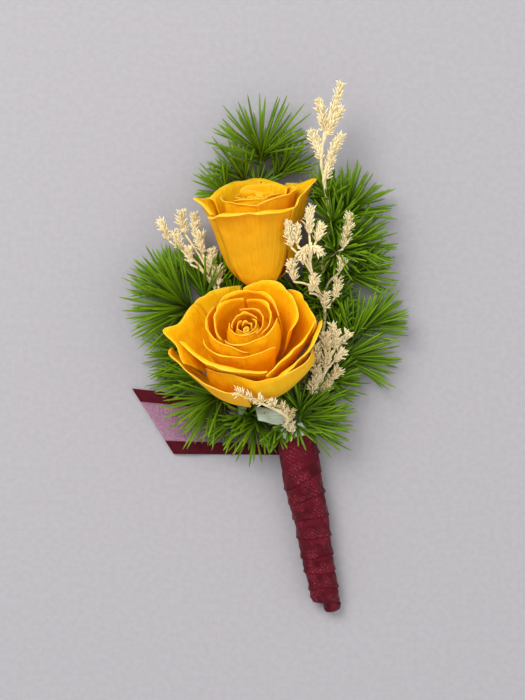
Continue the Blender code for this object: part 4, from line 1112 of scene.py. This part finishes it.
# For each stem of statice: node, place round the tape, route of the stem, and its heads. A head is
# (its foot, its tip), and it stands on a thin stem of its own.
STATICE = [
    ("statice_left", 225,
     [(3.9, -14.6, 2.0), (1.4, -10.4, 1.2), (-3.4, -3, 1.1), (-8.6, 5, 2.4), (-11.5, 13, 4.4),
      (-14.5, 21, 6.0)],
     [((-24.2, 27.0, 8.0), (-27.0, 33.0, 9.0)), ((-21.0, 24.5, 9.0), (-23.2, 30.2, 10.0)),
      ((-20.0, 28.5, 8.0), (-21.2, 35.6, 9.0)), ((-17.6, 27.5, 7.0), (-17.8, 34.8, 8.0)),
      ((-15.5, 23.5, 7.5), (-16.2, 30.0, 8.5)), ((-13.2, 19.5, 6.5), (-13.4, 26.0, 7.5)),
      ((-11.6, 15.5, 6.0), (-11.9, 21.5, 6.8)), ((-18.8, 21.0, 8.5), (-19.6, 26.5, 9.5))]),
    ("statice_tall", 285,
     [(9, -13, 1.4), (12, -4, 1.1), (14, 8, 1.4), (15, 20, 5.0), (16.6, 33, 11.0), (14.6, 45, 13.5),
      (15.2, 53, 14.2), (17.0, 60, 14.6)],
     [((17.0, 59.0, 14.6), (19.6, 67.4, 15.0)), ((15.2, 54.0, 14.4), (13.6, 63.0, 15.0)),
      ((15.6, 53.0, 14.2), (20.0, 61.0, 14.0)), ((14.6, 47.0, 13.8), (11.6, 55.3, 14.0)),
      ((16.4, 46.5, 13.2), (20.2, 54.6, 13.0)), ((15.6, 42.0, 12.6), (17.4, 49.0, 12.6)),
      ((20.0, 24.6, 14.0), (21.8, 34.6, 15.0)), ((19.0, 18.6, 13.0), (19.6, 23.6, 14.5)),
      ((18.0, 12.2, 10.0), (18.8, 18.4, 12.0))]),
    ("statice_centre", 340,
     [(12.5, -9, 3.4), (15, 2, 4.4), (15.6, 10, 8.0), (13, 16, 14.0), (11.6, 21, 18.5), (11.8, 26, 20.0)],
     [((6.9, 24.6, 21.0), (6.0, 32.0, 22.5)), ((8.4, 25.2, 21.0), (8.2, 31.0, 22.5)),
      ((11.4, 27.6, 20.0), (12.0, 36.0, 20.5)), ((13.0, 26.0, 19.0), (14.6, 31.5, 19.0)),
      ((10.8, 25.4, 20.6), (8.6, 20.6, 21.0)), ((12.0, 25.0, 20.0), (14.8, 22.6, 19.0)),
      ((7.6, 16.2, 18.0), (7.0, 22.4, 20.0)), ((11.6, 13.4, 15.0), (12.9, 19.0, 16.5)),
      ((15.6, 9.4, 10.0), (16.2, 14.4, 12.0))]),
    ("statice_lower_right", 30,
     [(12, -14.6, 6.4), (14.4, -9.6, 10.0), (16, -4, 11.5), (17, 1, 12.0)],
     [((14.0, -4.6, 13.0), (12.8, 1.4, 16.0)), ((15.6, -1.6, 13.0), (15.6, 4.4, 15.0)),
      ((18.0, -1.0, 12.0), (19.0, 4.6, 13.0)), ((17.6, -4.0, 12.0), (21.0, -0.4, 12.0)),
      ((15.6, -6.0, 13.0), (16.6, -0.8, 15.6)), ((13.6, -9.4, 12.0), (13.4, -3.8, 15.0)),
      ((16.6, -8.6, 10.0), (19.6, -4.4, 11.0)), ((12.6, -12.6, 10.0), (13.0, -7.6, 13.0)),
      ((14.4, -12.0, 9.0), (17.0, -8.0, 10.0)), ((17.0, 1.0, 11.0), (17.4, 6.6, 12.0)),
      ((19.4, 0.4, 10.0), (22.0, 4.6, 10.6))]),
    ("statice_front", 118,
     [(5.4, -20.0, 11.5), (6.0, -18.2, 17.0), (4.2, -16.4, 23.0), (-0.6, -14.0, 27.0)],
     [((6.0, -19.4, 13.0), (6.8, -15.2, 17.5)), ((5.2, -17.0, 20.0), (3.8, -13.8, 24.0)),
      ((2.4, -15.4, 24.5), (0.6, -13.0, 27.0)), ((0.0, -14.2, 26.0), (-2.2, -12.2, 28.2)),
      ((-2.4, -13.0, 27.5), (-5.2, -11.6, 29.2)), ((-4.8, -12.0, 28.6), (-7.6, -10.4, 30.0)),
      ((7.2, -22.0, 11.0), (6.6, -18.4, 13.5))]),
]


CLEARANCE = 0.4  # between the tip of a needle and what it points at
TUFT_DEPTH = 3.2  # length of twig from which a tuft's needles spring
TUFT_FLATNESS = 0.75  # of a tuft's height to its width
SHORTEST_NEEDLE = 0.3  # as a share of its tuft's needles; a shorter one is left out
ROOM_MARGIN = Vector((0.2, 0.2, 0.2))  # inside the box
LOWEST = 0.3  # height of a needle's middle above the table


class Room:
    """The space that needles and florets may fill: the CAD model's box, outside the nodes named."""

    def __init__(self, names):
        self.low = CAD_BOX[0] / MM - ORIGIN + Vector((0.2, 0.2, 0.15))
        self.high = CAD_BOX[1] / MM - ORIGIN - ROOM_MARGIN
        points, faces = [], []
        for name in names:
            mesh = frame["nodes"][name].data
            start = len(points)
            points += [v.co / MM - ORIGIN for v in mesh.vertices]
            faces += [[start + k for k in f.vertices] for f in mesh.polygons]
        self.tree = BVHTree.FromPolygons(points, faces)

    def reach(self, start, ahead, length):
        """How far a straight needle can go from start before it meets something."""
        for k in range(3):
            end = start[k] + ahead[k] * length
            if end > self.high[k] and ahead[k] > 0:
                length = max(0.0, (self.high[k] - start[k]) / ahead[k])
            if end < self.low[k] and ahead[k] < 0:
                length = max(0.0, (self.low[k] - start[k]) / ahead[k])
        hit, _, _, distance = self.tree.ray_cast(start, ahead, length + CLEARANCE)
        return length if hit is None else max(0.0, distance - CLEARANCE)


def twig_to(stem, end, spacing, fork):
    """A path that leaves the stem some way before the place nearest to its end, and bends towards the end."""
    end = Vector(end)
    span = min((p - end).length for p in stem)
    near = min(range(len(stem)), key=lambda i: (stem[i] - end).length)
    while near > 1 and (stem[near] - end).length < fork * span + 2.0:
        near -= 1
    ahead = (stem[min(near + 1, len(stem) - 1)] - stem[near - 1]).normalized()
    start = stem[near]
    bend = start.lerp(end, 0.45) + ahead * (0.16 * (end - start).length)
    return curve_through([start, bend, end], spacing)


def add_twig(pile, path, radii, sides, tint, along):
    """A thin stem along a path. radii are those at its foot and at its tip."""
    points, faces = tube(path, np.linspace(*radii, len(path)), sides)
    pile.add(points, faces, tint, [along] * len(points))


def stem_from_tape(angle, radius, route):
    """The path of a stem that starts inside the tape, against its wall, and then follows a route."""
    inside = [slot_point(angle, distance, radius) for distance in STEM_DEPTHS]
    return curve_through(inside + [Vector(p) for p in route], 1.0)


def direction_round(ahead, turn, splay):
    side = ahead.orthogonal().normalized()
    other = ahead.cross(side)
    out = side * math.cos(turn) + other * math.sin(turn)
    return (ahead * math.cos(splay) + out * math.sin(splay)).normalized()


def add_needle(pile, base, ahead, length, width, tint, source):
    """A fine needle that bends a little and ends in a point."""
    bend = Vector([source.uniform(-1, 1) for _ in range(3)]) * (0.1 * length)
    shares = (0.0, 0.2, 0.45, 0.7, 0.9, 1.0)
    widths = (0.5, 0.85, 1.0, 1.0, 0.8, 0.2)
    path = [base + ahead * (length * t) + bend * (t * t - t) for t in shares]
    path = [Vector((p.x, p.y, max(p.z, LOWEST))) for p in path]
    points, faces = tube(path, [width / 2 * w for w in widths], 5)
    pile.add(points, faces, tint, [t for t in shares for _ in range(5)])


def add_tuft(pile, path, aim, reach, spread, count, sizes, room, source):
    """The needles of one tuft. They spring from the last few millimetres of a twig and fan out."""
    aim = Vector(aim).normalized()
    for k in range(count):
        back = TUFT_DEPTH * source.random() ** 1.5
        base = path[-1]
        for i in range(len(path) - 1, 0, -1):
            base = path[i - 1]
            if (path[-1] - base).length >= back:
                break
        splay = math.radians(spread) * math.sqrt((k + 0.5) / count)
        out = direction_round(aim, math.radians(GOLDEN_ANGLE) * k + source.uniform(-0.3, 0.3), splay)
        out = Vector((out.x, out.y, out.z * TUFT_FLATNESS)).normalized()
        wanted = reach * source.uniform(0.85, 1.15) * (1 - 0.12 * splay)
        length = room.reach(base + out * 0.2, out, wanted)
        if length < SHORTEST_NEEDLE * wanted:
            continue
        width = sizes.needle_width / MM * source.uniform(0.85, 1.12)
        add_needle(pile, base, out, length, width, source.uniform(0.1, 1.0), source)


def add_fern(node, angle, route, tufts, sizes, material, room, seed):
    """One stem of ming fern: a thin stem with side twigs, and a tuft of needles at each twig's end."""
    source = random.Random(seed)
    pile = Pile()
    stem = stem_from_tape(angle, 0.5, route)
    add_twig(pile, stem, (0.5, 0.32), 8, 0.35, 0.25)
    for place, aim, reach, spread, count in tufts:
        path = stem
        if (Vector(place) - stem[-1]).length > 0.1:
            path = twig_to(stem, place, 0.8, 1.5)
            add_twig(pile, path, (0.36, 0.26), 7, 0.4, 0.3)
        add_tuft(pile, path, aim, reach, spread, round(count * sizes.needle_share), sizes, room, source)
    return pile.piece(node + "_needles", material, [node], "fern")


def add_floret(pile, base, ahead, out, size, source):
    """A dried floret: papery husks that lean the same way, side by side."""
    tint = source.uniform(0.3, 1.0)
    side = ahead.cross(out).normalized()
    for k in range(3):
        lean = (-0.3, 0.0, 0.3)[k] + source.uniform(-0.16, 0.16)
        rise = source.uniform(-0.15, 0.35)
        direction = (ahead + side * lean + out * rise).normalized()
        length = size * source.uniform(0.7, 1.15)
        width = size * source.uniform(0.22, 0.36)
        back = (out + side * source.uniform(-0.8, 0.8)).normalized()
        bend = source.uniform(-0.6, 0.5)
        points, faces, along = blade(base, direction, back, length, width, 0.2, bend, rings=6)
        pile.add(points, faces, min(1.0, max(0.0, tint + source.uniform(-0.2, 0.2))), along)


def add_statice(node, angle, route, heads, sizes, material, room, seed):
    """One stem of dried statice: thin forked stems, each with a head of close florets along its end."""
    source = random.Random(seed)
    pile = Pile()
    stem = stem_from_tape(angle, 0.4, route)
    add_twig(pile, stem, (0.5, 0.34), 8, 0.5, 0.5)
    spacing, size = sizes.floret_spacing / MM, sizes.husk_length / MM
    for foot, tip in heads:
        foot, tip = Vector(foot), Vector(tip)
        path = twig_to(stem, foot, 0.8, 1.4)
        add_twig(pile, path, (0.34, 0.28), 7, 0.5, 0.55)
        along = tip - foot
        length = max(1.0, along.length - 0.6 * size)
        ahead = along.normalized()
        side = ahead.cross(Vector((0, 0, 1))).normalized()
        over = side.cross(ahead)
        bow = side * source.uniform(-0.6, 0.6)
        count = max(3, round(length / spacing))
        axis = [foot + ahead * (length * t / 6) + bow * math.sin(math.pi * t / 6) for t in range(7)]
        add_twig(pile, axis, (0.28, 0.18), 6, 0.55, 0.6)
        for i in range(count):
            t = (i + 0.5) / count
            base = foot + ahead * (length * t) + bow * math.sin(math.pi * t)
            for row in (-1, 0, 1):
                lean = 1.3 * row + source.uniform(-0.3, 0.3)
                out = (over * math.cos(lean) + side * math.sin(lean)).normalized()
                direction = (ahead + out * source.uniform(0.45, 0.95)).normalized()
                grown = size * source.uniform(0.8, 1.1) * (0.75 + 0.25 * math.sin(math.pi * t))
                if room.reach(base + direction * 0.1, direction, grown) > 0.7 * grown:
                    add_floret(pile, base, direction, out, grown, source)
    return pile.piece(node + "_florets", material, [node], "dried_statice")


# ---------------------------------------------------------------- operators


def settings():
    scene = bpy.context.scene
    return scene.boutonniere_sizes, scene.boutonniere_colours


def solid_room():
    """Room outside the petals and the wrapped stems."""
    names = [name for name in frame["nodes"] if "petal" in name]
    return Room([*names, "ribbon_wrap"])


class AddOpenRose(bpy.types.Operator):
    """Adds the petals of the open rose"""

    bl_idname = "boutonniere.add_open_rose"
    bl_label = "Open rose"

    def execute(self, context):
        sizes, colours = settings()
        deep = blended(colours.petal_face, colours.petal_fold, 0.6)
        face = colours.petal_face
        inner = petal_material("rose petal, open, inner", colours, sizes, deep, face)
        middle = petal_material("rose petal, open, middle", colours, sizes, face, face)
        outer = petal_material("rose petal, open, outer", colours, sizes, face, colours.petal_outer)
        rings = [inner] * 11 + [middle] * 5 + [outer] * 6
        add_rose("open_rose", OPEN_SEAT, OPEN_AXIS, open_rose_petals(), rings, sizes, 21)
        return {"FINISHED"}


class AddBud(bpy.types.Operator):
    """Adds the petals of the half-open rose"""

    bl_idname = "boutonniere.add_bud"
    bl_label = "Half-open rose"

    def execute(self, context):
        sizes, colours = settings()
        # its petals face the light, so their colours are darkened a little with painted shade
        face = blended(colours.petal_face, BLACK, 0.1)
        outside = blended(colours.petal_outer, BLACK, 0.2)
        inner = petal_material("rose petal, bud, inner", colours, sizes, face, face)
        outer = petal_material("rose petal, bud, outer", colours, sizes, face, outside)
        add_rose("bud", BUD_SEAT, BUD_AXIS, bud_petals(), [inner] * 7 + [outer] * 5, sizes, 22)
        return {"FINISHED"}


class AddRoseStems(bpy.types.Operator):
    """Adds the stems, hips and sepals of both roses"""

    bl_idname = "boutonniere.add_rose_stems"
    bl_label = "Rose stems"

    def execute(self, context):
        material = stem_material(settings()[1])
        inside = [38.0, 24.0, 12.0, 0.0, -5.5]
        route = [core_point(1, d) for d in inside] + [(8.2, -12.0, 3.5), (6.8, -3.0, 2.0), (3.4, 5.0, 2.6)]
        add_rose_stem("bud_stem", BUD_SEAT, BUD_AXIS, route, cup=3.7, flesh=2.9, material=material, seed=31)
        route = [core_point(-1, d) for d in inside] + [(2.2, -13.4, 4.6)]
        add_rose_stem(
            "open_rose_stem", OPEN_SEAT, OPEN_AXIS, route, cup=4.2, flesh=3.3, material=material, seed=32
        )
        return {"FINISHED"}


class AddFerns(bpy.types.Operator):
    """Adds the stems of ming fern"""

    bl_idname = "boutonniere.add_ferns"
    bl_label = "Ming fern"

    def execute(self, context):
        sizes, colours = settings()
        material, room = fern_material(colours), solid_room()
        for seed, (node, angle, route, tufts) in enumerate(FERNS, 41):
            add_fern(node, angle, route, tufts, sizes, material, room, seed)
        return {"FINISHED"}


class AddStatice(bpy.types.Operator):
    """Adds the stems of dried statice"""

    bl_idname = "boutonniere.add_statice"
    bl_label = "Dried statice"

    def execute(self, context):
        sizes, colours = settings()
        material, room = husk_material(colours), solid_room()
        for seed, (node, angle, route, heads) in enumerate(STATICE, 61):
            add_statice(node, angle, route, heads, sizes, material, room, seed)
        return {"FINISHED"}


class AddTape(bpy.types.Operator):
    """Adds the floral tape that binds the stems"""

    bl_idname = "boutonniere.add_tape"
    bl_label = "Floral tape"

    def execute(self, context):
        add_tape(tape_material(settings()[1]))
        return {"FINISHED"}


class AddRibbon(bpy.types.Operator):
    """Adds the ribbon wound round the stems and its loose end"""

    bl_idname = "boutonniere.add_ribbon"
    bl_label = "Ribbon"

    def execute(self, context):
        sizes, colours = settings()
        # the ribbon's middle where it lies over itself: the satin's colour with a little painted glint mixed
        # in
        over_itself = blended(colours.satin, colours.glint, 0.03)
        wound = ribbon_material(
            "satin and organza ribbon, layered", colours, sizes, organza_alpha=1.0,
            organza_colour=over_itself, glint=0.62,
        )
        single = ribbon_material(
            "satin and organza ribbon, single", colours, sizes, organza_alpha=0.4,
            organza_colour=colours.organza, glint=0.0,
        )
        add_wrap(sizes, wound)
        add_tail(sizes, single)
        return {"FINISHED"}


class AddStage(bpy.types.Operator):
    """Adds the table top, the lights and the camera"""

    bl_idname = "boutonniere.add_stage"
    bl_label = "Stage"

    def execute(self, context):
        colours = settings()[1]
        add_floor(colours)
        add_light("key", (-0.34, 0.42, 0.75), size=0.55, power=7.0)
        add_light("fill", (0.5, -0.1, 0.6), size=0.7, power=1.1)
        world = bpy.data.worlds.new("studio")
        world.use_nodes = True
        set_inputs(world.node_tree.nodes["Background"], {"Color": (0.93, 0.95, 1.0, 1), "Strength": 0.92})
        context.scene.world = world
        context.scene.view_settings.view_transform = "Standard"
        add_camera()
        return {"FINISHED"}


def add_floor(colours):
    """A pale table top with a faint, fine grain."""
    made, tree, shader = new_material("matt laminate table top")
    grain = noise(tree, object_place(tree), scale=700.0, detail=3.0)
    set_inputs(shader, {
        "Base Color": ramped(
            tree, grain, [(0.35, blended(colours.floor, BLACK, 0.06)), (0.65, colours.floor)]
        ),
        "Normal": bumped(tree, grain, strength=0.25, distance=0.0001),
        "Roughness": 0.7,
    })
    mesh = bpy.data.meshes.new("floor")
    half, z = 3.0, CAD_BOX[0].z
    corners = [(-half, -half, z), (half, -half, z), (half, half, z), (-half, half, z)]
    mesh.from_pydata(corners, [], [(0, 1, 2, 3)])
    mesh.materials.append(made)
    floor = bpy.data.objects.new("floor", mesh)
    bpy.context.scene.collection.objects.link(floor)


def add_light(name, place, size, power):
    light = bpy.data.lights.new(name, "AREA")
    light.shape = "DISK"
    light.size = size
    light.energy = power
    lamp = bpy.data.objects.new(name, light)
    lamp.location = place
    lamp.rotation_euler = (-Vector(place)).to_track_quat("-Z", "Y").to_euler()
    bpy.context.scene.collection.objects.link(lamp)


def add_camera():
    """A camera straight above the piece that takes in about 136 by 182 mm of the table."""
    low, high = CAD_BOX
    height, covered, sensor = 0.508, 0.1792, 24.0
    camera = bpy.data.cameras.new("camera")
    camera.sensor_fit = "VERTICAL"
    camera.sensor_height = sensor
    # the view takes in the covered height half a metre below the camera, where the petals' feet are
    camera.lens = sensor * 0.5 / covered
    eye = bpy.data.objects.new("camera", camera)
    eye.location = ((low.x + high.x) / 2 - 0.0005, (low.y + high.y) / 2 - 0.001, low.z + height)
    bpy.context.scene.collection.objects.link(eye)
    bpy.context.scene.camera = eye


OPERATORS = (AddOpenRose, AddBud, AddRoseStems, AddTape, AddRibbon, AddFerns, AddStatice, AddStage)


class BoutonnierePanel(bpy.types.Panel):
    """Lists the pieces of the boutonniere with their sizes and colours"""

    bl_idname = "VIEW3D_PT_boutonniere"
    bl_label = "Boutonniere"
    bl_space_type = "VIEW_3D"
    bl_region_type = "UI"
    bl_category = "Boutonniere"

    def draw(self, context):
        for operator in OPERATORS:
            self.layout.operator(operator.bl_idname)
        for group in (context.scene.boutonniere_sizes, context.scene.boutonniere_colours):
            box = self.layout.box()
            for key in type(group).__annotations__:
                box.prop(group, key)


CLASSES = (BoutonniereSizes, BoutonniereColours, *OPERATORS, BoutonnierePanel)


def register():
    for each in CLASSES:
        bpy.utils.register_class(each)
    bpy.types.Scene.boutonniere_sizes = PointerProperty(type=BoutonniereSizes)
    bpy.types.Scene.boutonniere_colours = PointerProperty(type=BoutonniereColours)


def unregister():
    del bpy.types.Scene.boutonniere_colours
    del bpy.types.Scene.boutonniere_sizes
    for each in reversed(CLASSES):
        bpy.utils.unregister_class(each)


def main():
    register()
    for operator in OPERATORS:
        group, name = operator.bl_idname.split(".")
        getattr(getattr(bpy.ops, group), name)()


if __name__ == "__main__":
    main()
